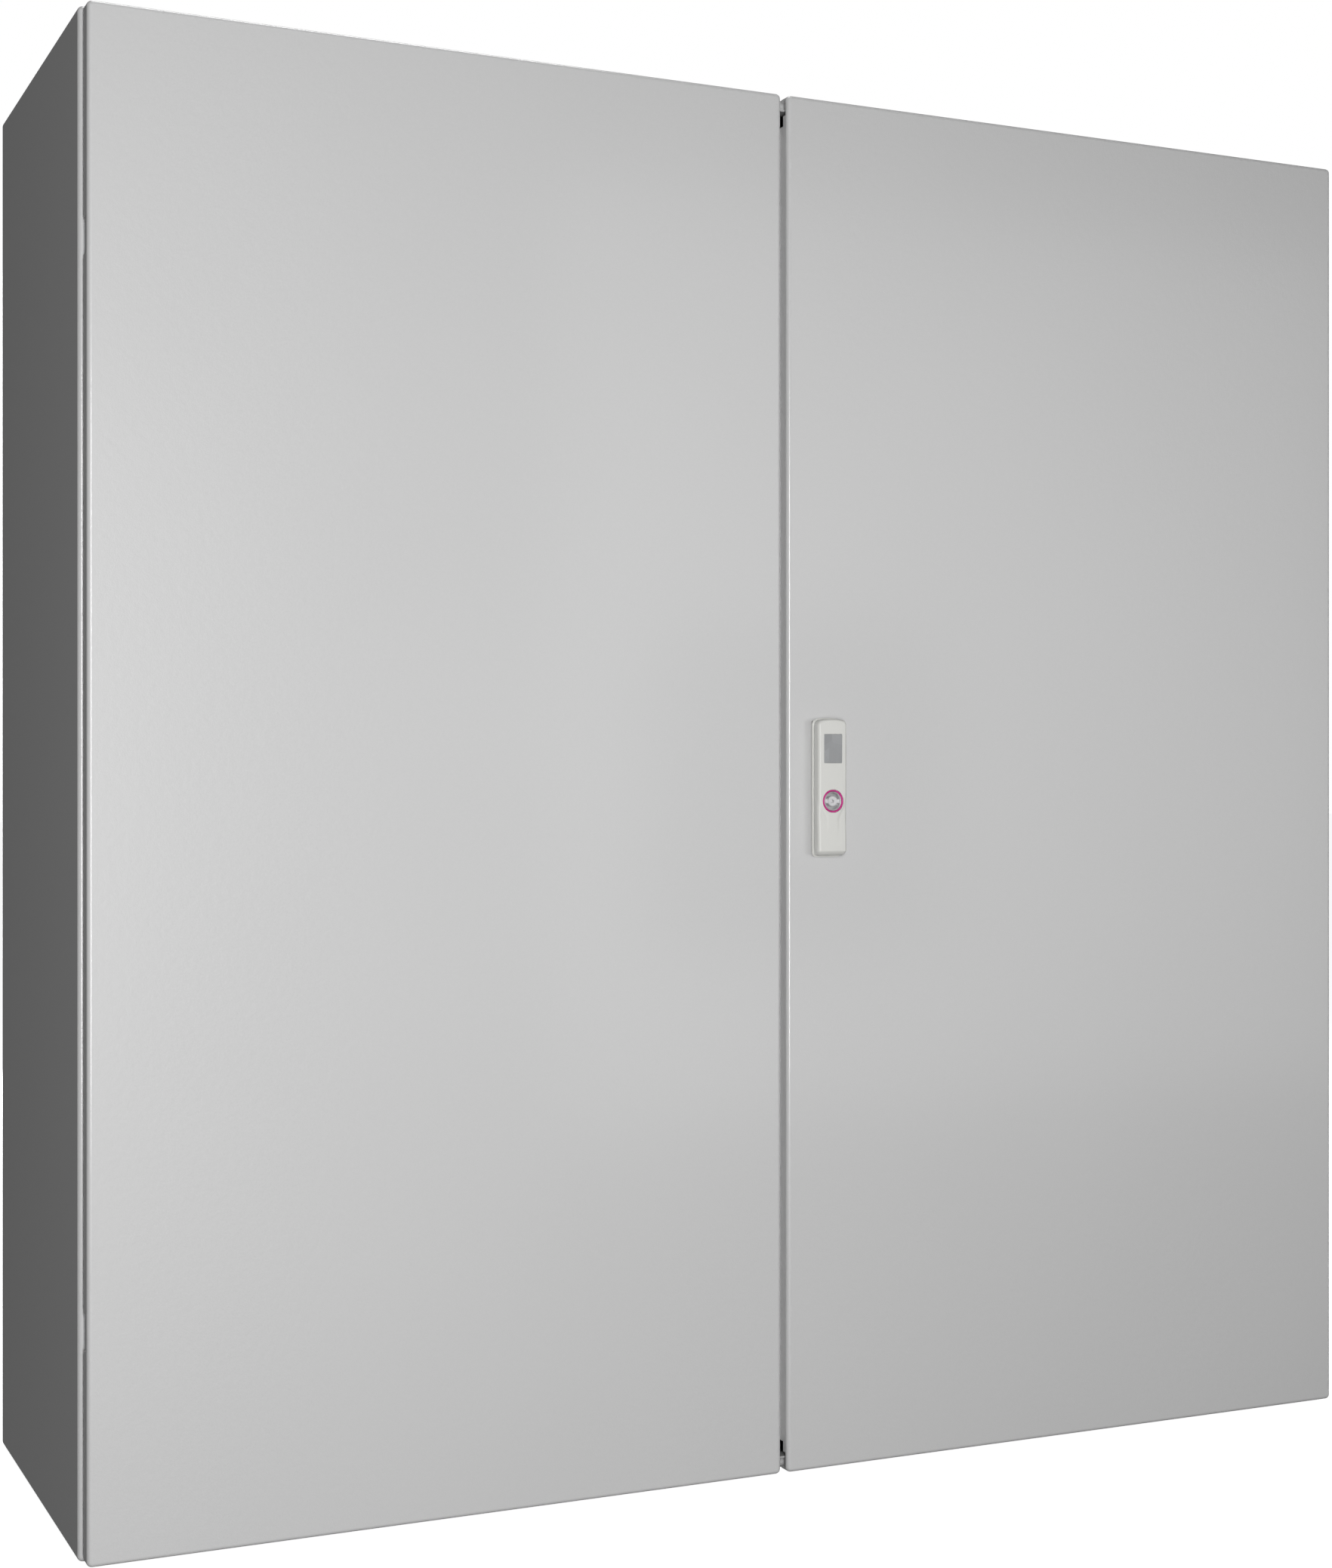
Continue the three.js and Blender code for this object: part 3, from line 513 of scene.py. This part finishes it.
def plate_fixings():
    """Studs, washers and nuts that hold the mounting plate."""
    thread = 4 * MM
    washer = (8 * MM, 1.4 * MM)
    plate_space = 3.6 * MM
    thread_start = 3 * MM
    for place in ("upper_left", "upper_right", "lower_left", "lower_right"):
        stud = f"plate_stud_{place}"
        low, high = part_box(stud)
        centre = (low + high) / 2
        nut_low, nut_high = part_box(f"plate_nut_{place}")
        shoulder = (high.x - low.x) / 2
        profile = [(shoulder, 0), (shoulder, high.y - nut_high.y - plate_space)]
        back = turned("shoulder", profile, (centre.x, high.y, centre.z), FORWARD)
        start = nut_high.y + thread_start
        rod = threaded_rod("rod", (centre.x, start, centre.z), FORWARD, thread, start - low.y)
        finished(join(f"threaded_{stud}", [back, rod]), "cabinet", "zinc_fasteners", [stud], 50)
        nut = hex_head(
            f"hexagon_nut_{place}",
            (centre.x, nut_high.y, centre.z),
            FORWARD,
            nut_high.x - nut_low.x,
            nut_high.y - nut_low.y - washer[1],
            washer,
        )
        finished(nut, "cabinet", "zinc_fasteners", [f"plate_nut_{place}"], 25)


def wall_plugs():
    """Plugs with a stem in the wall hole and a domed, dished head inside."""
    stem = 4.2 * MM
    for level in ("lower", "upper"):
        for side in SIDES:
            node = f"wall_plug_{level}_{side}"
            low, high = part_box(node)
            centre = (low + high) / 2
            radius = (high.x - low.x) / 2
            profile = [(stem, 0), (stem, 1.4 * MM), (radius, 1.5 * MM), (radius, 2.0 * MM)]
            for inset, top in ((0.5, 2.9), (2, 3.4), (3, 3.1)):
                profile.append((radius - inset * MM, top * MM))
            place = (centre.x, high.y, centre.z)
            plug = turned(f"moulded_{node}", profile, place, FORWARD, steps=40)
            finished(plug, "cabinet", "black_plastic", [node])


def earth_studs():
    """Each earth stud carries a washer and a nut."""
    studs = {
        "cabinet_earth_stud": ("cabinet", UPWARD),
        "left_door_earth_stud": ("left_door", REARWARD),
        "right_door_earth_stud": ("right_door", REARWARD),
    }
    radius, across, height, washer = 4 * MM, 13 * MM, 6 * MM, (8 * MM, 2.2 * MM)
    for node, (body, direction) in studs.items():
        low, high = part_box(node)
        centre = (low + high) / 2
        along = Vector(direction)
        span = (high - low).dot(along)
        origin = centre - along * span / 2
        rod = threaded_rod("rod", origin, direction, radius, span)
        nut = hex_head("nut", origin, direction, across, height, washer)
        finished(join(f"assembled_{node}", [rod, nut]), body, "zinc_fasteners", [node], 25)


def gland_screws():
    """Hexagon screws round each gland plate."""
    edge = 7.5 * MM
    per_row = 4
    across, height, washer = 8 * MM, 3.5 * MM, (6 * MM, 1 * MM)
    for side in SIDES:
        low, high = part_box(f"gland_plate_{side}")
        seat = high.z + 0.02 * MM
        heads = []
        for i in range(per_row):
            x = low.x + edge + (high.x - low.x - 2 * edge) * i / (per_row - 1)
            for y in (low.y + edge, high.y - edge):
                heads.append(hex_head("head", (x, y, seat), UPWARD, across, height, washer))
        screws = join(f"gland_plate_screws_{side}", heads)
        finished(screws, "cabinet", "zinc_fasteners", angle=25)


# ---------- Doors ----------
def door_pan(side):
    """A pan with bent edges, notched at the hinges and, beside the gap, at the body's rim."""
    low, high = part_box(f"{side}_door_panel")
    back = high.y
    rings = []

    def ring(inset, y, radius):
        corners = low.x + inset, high.x - inset, low.z + inset, high.z - inset
        rings.append([(x, y, z) for x, z in rounded_outline(*corners, radius)])

    inner_bend = BEND - DOOR_SHEET
    for u, v in arc(BEND, low.y + BEND, BEND, 270, 180, 8):
        ring(u, v, CORNER - u)
    ring(0, back, CORNER)
    ring(DOOR_SHEET, back, CORNER - DOOR_SHEET)
    for u, v in arc(BEND, low.y + BEND, inner_bend, 180, 270, 3):
        ring(u, v, CORNER - u)
    pan = new_piece(f"{side}_door_folded", *bridge(rings, cap_ends=True))
    out = SIDES[side]
    hinge_edge = high.x if out > 0 else low.x
    gap_edge = low.x if out > 0 else high.x
    skin = DOOR_SHEET + 0.5 * MM
    near, far = sorted((hinge_edge - out * skin, hinge_edge + out * THROUGH))
    hinge_play = 2 * MM
    cutters = []
    for level in ("upper", "lower"):
        bracket_low, bracket_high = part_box(f"hinge_bracket_{side}_{level}")
        pin_low, pin_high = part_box(f"hinge_pin_{side}_{level}")
        notch = (pin_low.y + pin_high.y) / 2 - 1.7 * MM
        z0, z1 = bracket_low.z - hinge_play, bracket_high.z + hinge_play
        cutters.append(box_piece("cutter", (near, notch, z0), (far, back + THROUGH, z1)))
    near, far = sorted((gap_edge - out * THROUGH, gap_edge + out * skin))
    border = 2.5 * MM
    for reach, front in ((16 * MM, DOOR_INNER + 1.5 * MM), (23.3 * MM, low.y + 7 * MM)):
        for z0, z1 in ((low.z + border, reach), (HEIGHT - reach, high.z - border)):
            cutters.append(box_piece("cutter", (near, front, z0), (far, back + THROUGH, z1)))
    if side == "right":
        spindle = (LOCK_X, low.y, SPINDLE_Z)
        cutters.append(round_cutter(SPINDLE_BORE, spindle, -2 * THROUGH, 2 * THROUGH))
    cut(pan, *cutters)
    return finished(pan, f"{side}_door", "enclosure_paint", [f"{side}_door_panel"])


def seal_section(width, height, steps=10):
    """Half-round foam bead: (across, up) pairs, flat on the door."""
    fullness = 0.75  # 1 is a half ellipse, less is squarer
    points = []
    for i in range(steps + 1):
        angle = math.pi * i / steps
        points.append((-width / 2 * math.cos(angle), height * math.sin(angle) ** fullness))
    return points


def bead(path, closed, width, base_y, height):
    """Rings of a foam bead along a path of (x, z) points on the door's inner face."""
    count = len(path)
    section = seal_section(width, height)
    rings = []
    for i, (x, z) in enumerate(path):
        before = path[(i - 1) % count] if closed or i else path[i]
        after = path[(i + 1) % count] if closed or i < count - 1 else path[i]
        along = Vector((after[0] - before[0], after[1] - before[1])).normalized()
        across = Vector((-along.y, along.x))
        rings.append([(x + across.x * a, base_y + up, z + across.y * a) for a, up in section])
    return rings


def door_seal(side):
    """A foam bead: a ring on the right door and three runs on the left one."""
    low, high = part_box(f"{side}_door_seal")
    width = 11.5 * MM
    half = width / 2 + 0.3 * MM
    height = high.y - low.y - 0.1 * MM
    corner = 9 * MM
    x0, x1, z0, z1 = low.x + half, high.x - half, low.z + half, high.z - half
    closed = side == "right"
    if closed:
        x0 = low.x + 3.6 * MM
    outline = rounded_outline(x0, x1, z0, z1, corner, steps=8)
    if not closed:
        end = high.x - 1 * MM
        upper = arc(x0 + corner, z1 - corner, corner, 90, 180, 8)
        lower = arc(x0 + corner, z0 + corner, corner, 180, 270, 8)
        outline = [(end, z1)] + upper + lower + [(end, z0)]
    rings = bead(outline, closed, width if not closed else 11 * MM, low.y, height)
    if closed:
        rings = narrowed(rings, low.x)
    piece = new_piece(f"{side}_foam_seal", *bridge(rings, closed=closed, cap_ends=not closed))
    return finished(piece, f"{side}_door", "foam_seal", [f"{side}_door_seal"], 60)


def narrowed(rings, limit):
    """Keeps the run beside the door gap inside the space its solid holds."""
    run = 8 * MM

    def inside(x):
        return max(x, (x + limit) / 2) if x < limit + run else x

    return [[(inside(x), y, z) for x, y, z in ring] for ring in rings]


def perforated_channel(node, body):
    """A U-channel whose web is punched with a row of round and long holes every 25 mm."""
    low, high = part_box(node)
    sheet = 1.5 * MM
    width = high.x - low.x
    centre = (low.x + high.x) / 2
    pitch = 25 * MM
    count = int((high.z - low.z) / pitch)
    start = (low.z + high.z) / 2 - count * pitch / 2
    skin = high.y - sheet / 2
    points, faces = [], []
    steps = 16
    hole_radius, long_hole = 3.2 * MM, 6.5 * MM
    half_w = width / 2 - sheet / 2
    for i in range(count):
        middle = start + (i + 0.5) * pitch
        half_h = pitch / 2
        stretch = 0 if i % 2 else long_hole - hole_radius
        base = len(points)
        for k in range(steps):
            angle = 2 * math.pi * (k + 0.5) / steps
            c, s = math.cos(angle), math.sin(angle)
            z = middle + hole_radius * s + math.copysign(stretch, s)
            points.append((centre + hole_radius * c, skin, z))
        for k in range(steps):
            angle = 2 * math.pi * (k + 0.5) / steps
            c, s = math.cos(angle), math.sin(angle)
            grow = 1 / max(abs(c), abs(s))
            points.append((centre + half_w * c * grow, skin, middle + half_h * s * grow))
        for k in range(steps):
            n = (k + 1) % steps
            faces.append((base + k, base + n, base + steps + n, base + steps + k))
        corners = {}
        for sx in (-1, 1):
            for sz in (-1, 1):
                corners[(sx, sz)] = len(points)
                points.append((centre + sx * half_w, skin, middle + sz * half_h))
        for quarter, key in enumerate(((1, 1), (-1, 1), (-1, -1), (1, -1))):
            index = (2 * quarter + 1) * steps // 8
            faces.append((base + steps + index - 1, base + steps + index, corners[key]))
    low_z, high_z = start, start + count * pitch
    for sx in (-1, 1):
        x = centre + sx * half_w
        base = len(points)
        points += [(x, low.y, low_z), (x, skin, low_z), (x, skin, high_z), (x, low.y, high_z)]
        faces.append((base, base + 1, base + 2, base + 3))
    piece = new_piece(f"punched_{node}", points, faces)
    solid = piece.modifiers.new("sheet", "SOLIDIFY")
    solid.thickness = sheet
    solid.offset = 0
    bake_modifiers(piece)
    return finished(piece, body, "zinc_steel", [node], 30)


def centre_strip():
    """A leg inside the left door's return and a flat behind the gap, with soft edges."""
    low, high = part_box("centre_strip")
    sheet = 1.5 * MM
    leg = low.x + sheet
    front = high.y - sheet
    outline = [(low.x, low.y), (leg, low.y), (leg, front)]
    outline += [(high.x, front), (high.x, high.y), (low.x, high.y)]
    strip = prism("folded_centre_strip", outline, low.z, high.z, axis="Z")
    bevel(strip, 0.3 * MM, 3)
    return finished(strip, "left_door", "enclosure_paint", ["centre_strip"])


# ---------- Lock and rods ----------
def lock_case():
    """Moulded gear case with rounded edges, ribs and four screws."""
    low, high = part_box("lock_case")
    wall = 1.2 * MM
    outside = box_piece("moulded_lock_case", low, high)
    hollow = box_piece(
        "cutter",
        (low.x + wall, low.y + 1.5 * MM, low.z - THROUGH),
        (high.x - wall, high.y - 1.3 * MM, high.z + THROUGH),
    )
    bevel(outside, 1.1 * MM, 3)
    cut(outside, hollow, round_cutter(7 * MM, (LOCK_X, low.y, SPINDLE_Z), -2 * THROUGH, 3 * MM))
    parts = [outside]
    margin = 6 * MM
    across, head, washer = 5.5 * MM, 1.4 * MM, (3.6 * MM, 0.5 * MM)
    for x in (low.x + margin, high.x - margin):
        for z in (low.z + margin, high.z - margin):
            place = (x, high.y - 0.3 * MM, z)
            parts.append(hex_head("head", place, REARWARD, across, head, washer))
    ribs = 5
    rib_end, rib_width = 12 * MM, 1.2 * MM
    for i in range(ribs):
        z = low.z + (i + 1.5) * (high.z - low.z) / (ribs + 2)
        rib_low = (low.x + rib_end, high.y - 0.2 * MM, z)
        rib_high = (high.x - rib_end, high.y + 0.5 * MM, z + rib_width)
        parts.append(box_piece("rib", rib_low, rib_high))
    case = join("moulded_lock_case_set", parts)
    return finished(case, "right_door", "black_plastic", ["lock_case"], 30)


def rod_guides():
    """Guides for rods and bolts: blocks with a slot and soft edges."""
    margin, play = 2.2 * MM, 0.3 * MM
    slot_front, slot_back = BODY_FRONT - 7.3 * MM, BODY_FRONT - 2.7 * MM
    edge = 0.9 * MM
    guides = {}
    for level in ("upper", "lower"):
        guides[f"lock_rod_guide_{level}"] = ("right_door", f"lock_rod_{level}", "black_plastic")
        guides[f"left_bolt_guide_{level}"] = ("left_door", f"left_bolt_{level}", "zinc_fasteners")
    for node, (body, rod, slot) in guides.items():
        low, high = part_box(node)
        rod_low, rod_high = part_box(rod)
        if "bolt" in node:
            side_low, side_high = rod_low.x, rod_high.x
        else:
            side_low, side_high = low.x + margin, high.x - margin
        block = box_piece(f"shaped_{node}", low, high)
        bevel(block, edge, 3)
        slot_low = (side_low - play, slot_front, low.z - THROUGH)
        slot_high = (side_high + play, slot_back, high.z + THROUGH)
        cut(block, box_piece("cutter", slot_low, slot_high))
        finished(block, body, slot, [node], 30)


# ---------- Swing handle ----------
def box_distance(x, z, half_x, half_z, radius):
    """Depth of a point inside a rounded rectangle centred on the origin."""
    qx = abs(x) - half_x + radius
    qz = abs(z) - half_z + radius
    outside = math.hypot(max(qx, 0), max(qz, 0))
    return radius - outside - min(max(qx, qz), 0)


def ease(value, low, high):
    t = min(1.0, max(0.0, (value - low) / (high - low)))
    return t * t * (3 - 2 * t)


def fillet(depth, radius):
    """How far a rounded edge falls back at a distance inside it."""
    if depth >= radius:
        return 0.0
    return radius - math.sqrt(max(0.0, radius * radius - (radius - depth) ** 2))


def chamfer(depth, width):
    """How far an edge bevelled at 45 degrees falls back at a distance inside it."""
    return max(0.0, width - depth)


def slab(name, low, high, corner, edge, crown, surface):
    """A moulded slab with an arched top; its front follows surface(x, z) and edge(depth)."""
    half_x, half_z = (high.x - low.x) / 2, (high.z - low.z) / 2
    centre_x, centre_z = (low.x + high.x) / 2, (low.z + high.z) / 2
    columns, rows = 44, 150
    crowding = 0.55  # share of the row spacing that crowds towards both ends
    arch_height = 14 * MM
    back_edge = high.y - 0.3 * MM
    grid = []
    for j in range(rows + 1):
        even = 2 * j / rows - 1
        z = (crowding * math.sin(math.pi / 2 * even) + (1 - crowding) * even) * half_z
        from_end = half_z - abs(z)
        width = half_x
        if from_end < corner:
            width = half_x - corner + math.sqrt(max(0.0, corner**2 - (corner - from_end) ** 2))
        row = []
        for i in range(columns + 1):
            u = math.sin(math.pi / 2 * (2 * i / columns - 1))
            x = u * width
            depth = box_distance(x, z, half_x, half_z, corner)
            arch = -crown * (x / half_x) ** 2 * ease(z, half_z - arch_height, half_z)
            y = low.y + edge(max(0.0, depth)) + surface(x, z + centre_z)
            row.append((centre_x + x, min(y, back_edge), centre_z + z + arch))
        grid.append(row)
    points = [p for row in grid for p in row]
    faces = []
    stride = columns + 1
    for j in range(rows):
        for i in range(columns):
            a = j * stride + i
            faces.append((a, a + 1, a + stride + 1, a + stride))
    border = [i for i in range(stride)]
    border += [j * stride + columns for j in range(1, rows + 1)]
    border += [rows * stride + i for i in range(columns - 1, -1, -1)]
    border += [j * stride for j in range(rows - 1, 0, -1)]
    base = len(points)
    points += [(points[b][0], high.y, points[b][2]) for b in border]
    for k in range(len(border)):
        n = (k + 1) % len(border)
        faces.append((border[k], border[n], base + n, base + k))
    faces.append(tuple(base + k for k in range(len(border))))
    return new_piece(name, points, faces)


def lever_surface(x, z):
    """Finger scoops beside a tongue below the lock, a bevelled chin and a slightly arched grip."""
    half_tongue, taper, taper_length = 9.2 * MM, 5.6 * MM, 14 * MM
    scoop_depth, chin_height = 0.55 * MM, 3.2 * MM
    arch_depth, half_grip = 0.35 * MM, 11 * MM
    below = LOCK_Z - z
    tongue = half_tongue - taper * ease(below, 0, taper_length)
    window = ease(below, -3 * MM, 3 * MM) * (1 - ease(below, 12 * MM, 26 * MM))
    scoop = scoop_depth * ease(abs(x), tongue - 0.2 * MM, tongue + 1.5 * MM) * window
    chin = 0.9 * chamfer(z - LEVER_LOW.z, chin_height)
    return scoop + chin + arch_depth * (x / half_grip) ** 2


def handle():
    """The bevelled base plate on the door, and the lever that lies on it."""
    crown = 1.6 * MM
    low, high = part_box("handle_plate")

    def plate_edge(depth):
        return chamfer(depth, 4 * MM)

    def flat(x, z):
        return 0.0

    plate = slab("moulded_handle_plate", low, high, 3.6 * MM, plate_edge, crown, flat)
    cut(plate, round_cutter(SPINDLE_BORE, (LOCK_X, high.y, SPINDLE_Z), -THROUGH, THROUGH))
    finished(plate, "right_door", "handle_plastic", ["handle_plate"], 50)

    def lever_edge(depth):
        return fillet(depth, 2.2 * MM)

    low, high = LEVER_LOW, LEVER_HIGH
    lever = slab("moulded_handle_lever", low, high, 3.4 * MM, lever_edge, crown, lever_surface)
    lock_centre = (LOCK_X, low.y, LOCK_Z)
    bore = round_cutter(LOCK_BORE, lock_centre, -THROUGH, 2 * THROUGH, 48)
    seat_radius, seat_depth = 8.5 * MM, 1.3 * MM
    seat = round_cutter(seat_radius, lock_centre, -THROUGH, seat_depth, 48)
    half_pocket, pocket_depth, pocket_drop = 5.4 * MM, 4.7 * MM, 9 * MM
    pocket = box_piece(
        "cutter",
        (LOCK_X - half_pocket, high.y - pocket_depth, SPINDLE_Z - pocket_drop),
        (LOCK_X + half_pocket, high.y + THROUGH, high.z + THROUGH),
    )
    relief = 4.1 * MM
    outside = [(high.y + 1 * MM, high.z - relief), (high.y + 1 * MM, high.z + 2 * MM)]
    slope = [
        (high.y - 4 * MM, high.z + 2 * MM),
        (high.y - 4 * MM, high.z - 0.1 * MM),
        (high.y - 0.2 * MM, high.z - relief),
    ]
    heel = prism("cutter", outside + slope, low.x - THROUGH, high.x + THROUGH, axis="X")
    cut(lever, bore, seat, pocket, heel, badge_body("cutter", 0.05 * MM, -1 * MM))
    finished(lever, "handle_lever_unit", "handle_plastic", ["handle_lever"], 50)


def badge_body(name, grow, front):
    """The badge's rounded block, for the badge itself and for its seat in the lever."""
    half = 7.4 * MM + grow
    bottom, top = 515 * MM - grow, 536 * MM + grow
    corner, thickness = 0.8 * MM, 0.8 * MM
    outline = rounded_outline(LOCK_X - half, LOCK_X + half, bottom, top, corner)
    return prism(name, outline, LEVER_LOW.y + front, LEVER_LOW.y + thickness)


def label_plate():
    """A plain metal field above the lock, where such a handle carries a badge."""
    badge = badge_body("blank_badge", 0, 0.02 * MM)
    bevel(badge, 0.15 * MM, 2)
    return finished(badge, "handle_lever_unit", "zinc_steel")


def lock():
    """Magenta ring round a recessed double-bit insert."""
    ring_outer = (RING_HIGH.x - RING_LOW.x) / 2
    depth = RING_HIGH.y - RING_LOW.y
    middle = (ring_outer + LOCK_BORE) / 2
    half = (ring_outer - LOCK_BORE) / 2
    rings = []
    shoulder = depth * 0.45
    section = [(middle + half, depth), (middle + half, shoulder)]
    section += arc(middle, shoulder, half, 0, -180, 6)[1:-1]
    section += [(middle - half, shoulder), (middle - half, depth)]
    steps = 64
    for k in range(steps):
        angle = 2 * math.pi * k / steps
        c, s = math.cos(angle), math.sin(angle)
        rings.append([
            (LOCK_X + r * c, max(RING_LOW.y + v, RING_LOW.y), LOCK_Z + r * s) for r, v in section
        ])
    ring = new_piece("magenta_lock_ring", *bridge(rings, closed=True))
    finished(ring, "handle_lever_unit", "ring_plastic", ["lock_ring"], 50)

    low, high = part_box("lock_insert")
    radius = (high.x - low.x) / 2
    place = (LOCK_X, low.y, LOCK_Z)
    floor = 3.6 * MM
    cup_profile = [(radius, high.y - low.y), (radius, 0.3 * MM), (radius - 0.3 * MM, 0)]
    cup_profile += [(radius - 0.6 * MM, 0.1 * MM), (radius - 0.7 * MM, 3.4 * MM)]
    cup_profile += [(0.6 * MM, floor), (0.5 * MM, floor)]
    cup = turned("insert_cup", cup_profile, place, REARWARD, 64)
    boss_radius = 3.85 * MM
    boss_profile = [(boss_radius, floor), (boss_radius, 0.9 * MM), (3.5 * MM, 0.5 * MM)]
    boss_profile += [(1.2 * MM, 0.45 * MM), (1.0 * MM, 2.7 * MM)]
    boss = turned("insert_boss", boss_profile, place, REARWARD, 48)
    half_span, half_bit = 6 * MM, 1.5 * MM
    wings = box_piece(
        "insert_wings",
        (LOCK_X - half_span, low.y + 0.75 * MM, LOCK_Z - half_bit),
        (LOCK_X + half_span, low.y + floor, LOCK_Z + half_bit),
    )
    bevel(wings, 0.3 * MM, 2)
    cut(wings, round_cutter(1.3 * MM, place, -THROUGH, 2.8 * MM))
    insert = join("double_bit_insert", [cup, boss, wings])
    finished(insert, "lock_insert_unit", "lock_metal", ["lock_insert"], 35)


# ---------- Kept CAD nodes ----------
def paint_kept_nodes():
    slots = {s["node"]: s["material_slot"] for s in frame["record"]["subparts"]}
    for name, node in frame["nodes"].items():
        paint(node, slots[name])


# ---------- Stage, light and camera ----------
WHITE = (1, 1, 1, 1)
AMBIENT = 0.1  # how bright the floor and the world are to everything but the camera
LIGHT_FRONT = DOOR_FRONT - 1.7
EYE = (-0.7905, BODY_FRONT - 1.5361, 0.4999)
EYE_TURN = -24.67  # degrees from straight ahead


def white_source(tree, kind, strength):
    """A white background or emission node."""
    source = tree.nodes.new(kind)
    source.inputs["Color"].default_value = WHITE
    source.inputs["Strength"].default_value = strength
    return source


def show(tree, output, seen, unseen):
    """Sends one shader to the camera and the other to everything else."""
    mix = tree.nodes.new("ShaderNodeMixShader")
    rays = tree.nodes.new("ShaderNodeLightPath")
    tree.links.new(rays.outputs["Is Camera Ray"], mix.inputs[0])
    tree.links.new(unseen.outputs[0], mix.inputs[1])
    tree.links.new(seen.outputs[0], mix.inputs[2])
    tree.links.new(mix.outputs[0], output.inputs[0])


def stage():
    """A pale floor: near-white in the picture, and as dim as the world to the object."""
    reach = 30
    corners = [(-reach, -reach, 0), (reach, -reach, 0), (reach, reach, 0), (-reach, reach, 0)]
    floor = new_piece("floor", corners, [(0, 1, 2, 3)])
    floor.location.z = -0.2 * MM
    material = bpy.data.materials.new("pale_floor")
    material.use_nodes = True
    tree = material.node_tree
    tree.nodes.clear()
    output = tree.nodes.new("ShaderNodeOutputMaterial")
    pale = tree.nodes.new("ShaderNodeBsdfDiffuse")
    pale.inputs["Color"].default_value = (0.9, 0.9, 0.9, 1)
    glow = white_source(tree, "ShaderNodeEmission", 0.85)
    seen = tree.nodes.new("ShaderNodeAddShader")
    tree.links.new(pale.outputs[0], seen.inputs[0])
    tree.links.new(glow.outputs[0], seen.inputs[1])
    show(tree, output, seen, white_source(tree, "ShaderNodeEmission", AMBIENT))
    floor.data.materials.append(material)


def area_light(name, place, facing, size, power, lights=True, reflected=True):
    """A soft box that may light surfaces, be seen in glossy ones, or both."""
    data = bpy.data.lights.new(name, "AREA")
    data.shape = "RECTANGLE"
    data.size, data.size_y = size
    data.energy = power
    lamp = bpy.data.objects.new(name, data)
    lamp.location = place
    lamp.rotation_euler = Vector(facing).to_track_quat("-Z", "Y").to_euler()
    lamp.visible_camera = False
    lamp.visible_diffuse = lights
    lamp.visible_glossy = reflected
    bpy.context.scene.collection.objects.link(lamp)


def world():
    """White behind the object, dim and even as a light."""
    backdrop = bpy.data.worlds.new("studio")
    bpy.context.scene.world = backdrop
    backdrop.use_nodes = True
    tree = backdrop.node_tree
    tree.nodes.clear()
    output = tree.nodes.new("ShaderNodeOutputWorld")
    seen = white_source(tree, "ShaderNodeBackground", 1.0)
    show(tree, output, seen, white_source(tree, "ShaderNodeBackground", AMBIENT))


def camera():
    """Stands to the left of the doors, half way up, and looks level at them."""
    data = bpy.data.cameras.new("camera")
    data.lens = 54.3
    data.sensor_width = 36
    data.clip_end = 100
    eye = bpy.data.objects.new("camera", data)
    eye.location = EYE
    eye.rotation_euler = (math.radians(90), 0, math.radians(EYE_TURN))
    bpy.context.scene.collection.objects.link(eye)
    bpy.context.scene.camera = eye


camera()
world()
stage()
area_light("key", (-0.74, LIGHT_FRONT, 0.55), REARWARD, (0.22, 0.95), 22.8)
area_light("fill", (0.9, LIGHT_FRONT, 0.5), REARWARD, (0.5, 0.5), 6.6, reflected=False)
area_light("sheen", (1.25, LIGHT_FRONT, 0.5), REARWARD, (1.5, 1.8), 8, lights=False)
area_light("top", (0, 0.3, 2.6), DOWNWARD, (1.0, 0.6), 13)
area_light("right", (2.4, 0.3, 0.7), LEFTWARD, (0.8, 1.2), 18, reflected=False)
area_light("rear", (0, 2.6, 0.8), FORWARD, (1.0, 1.2), 26)
bpy.context.scene.view_settings.view_transform = "Standard"

paint_kept_nodes()
cabinet_shell()
plate_fixings()
wall_plugs()
earth_studs()
gland_screws()
for door in SIDES:
    door_pan(door)
    door_seal(door)
    for place in ("outer", "inner"):
        perforated_channel(f"{door}_door_stiffener_{place}", f"{door}_door")
centre_strip()
lock_case()
rod_guides()
handle()
label_plate()
lock()
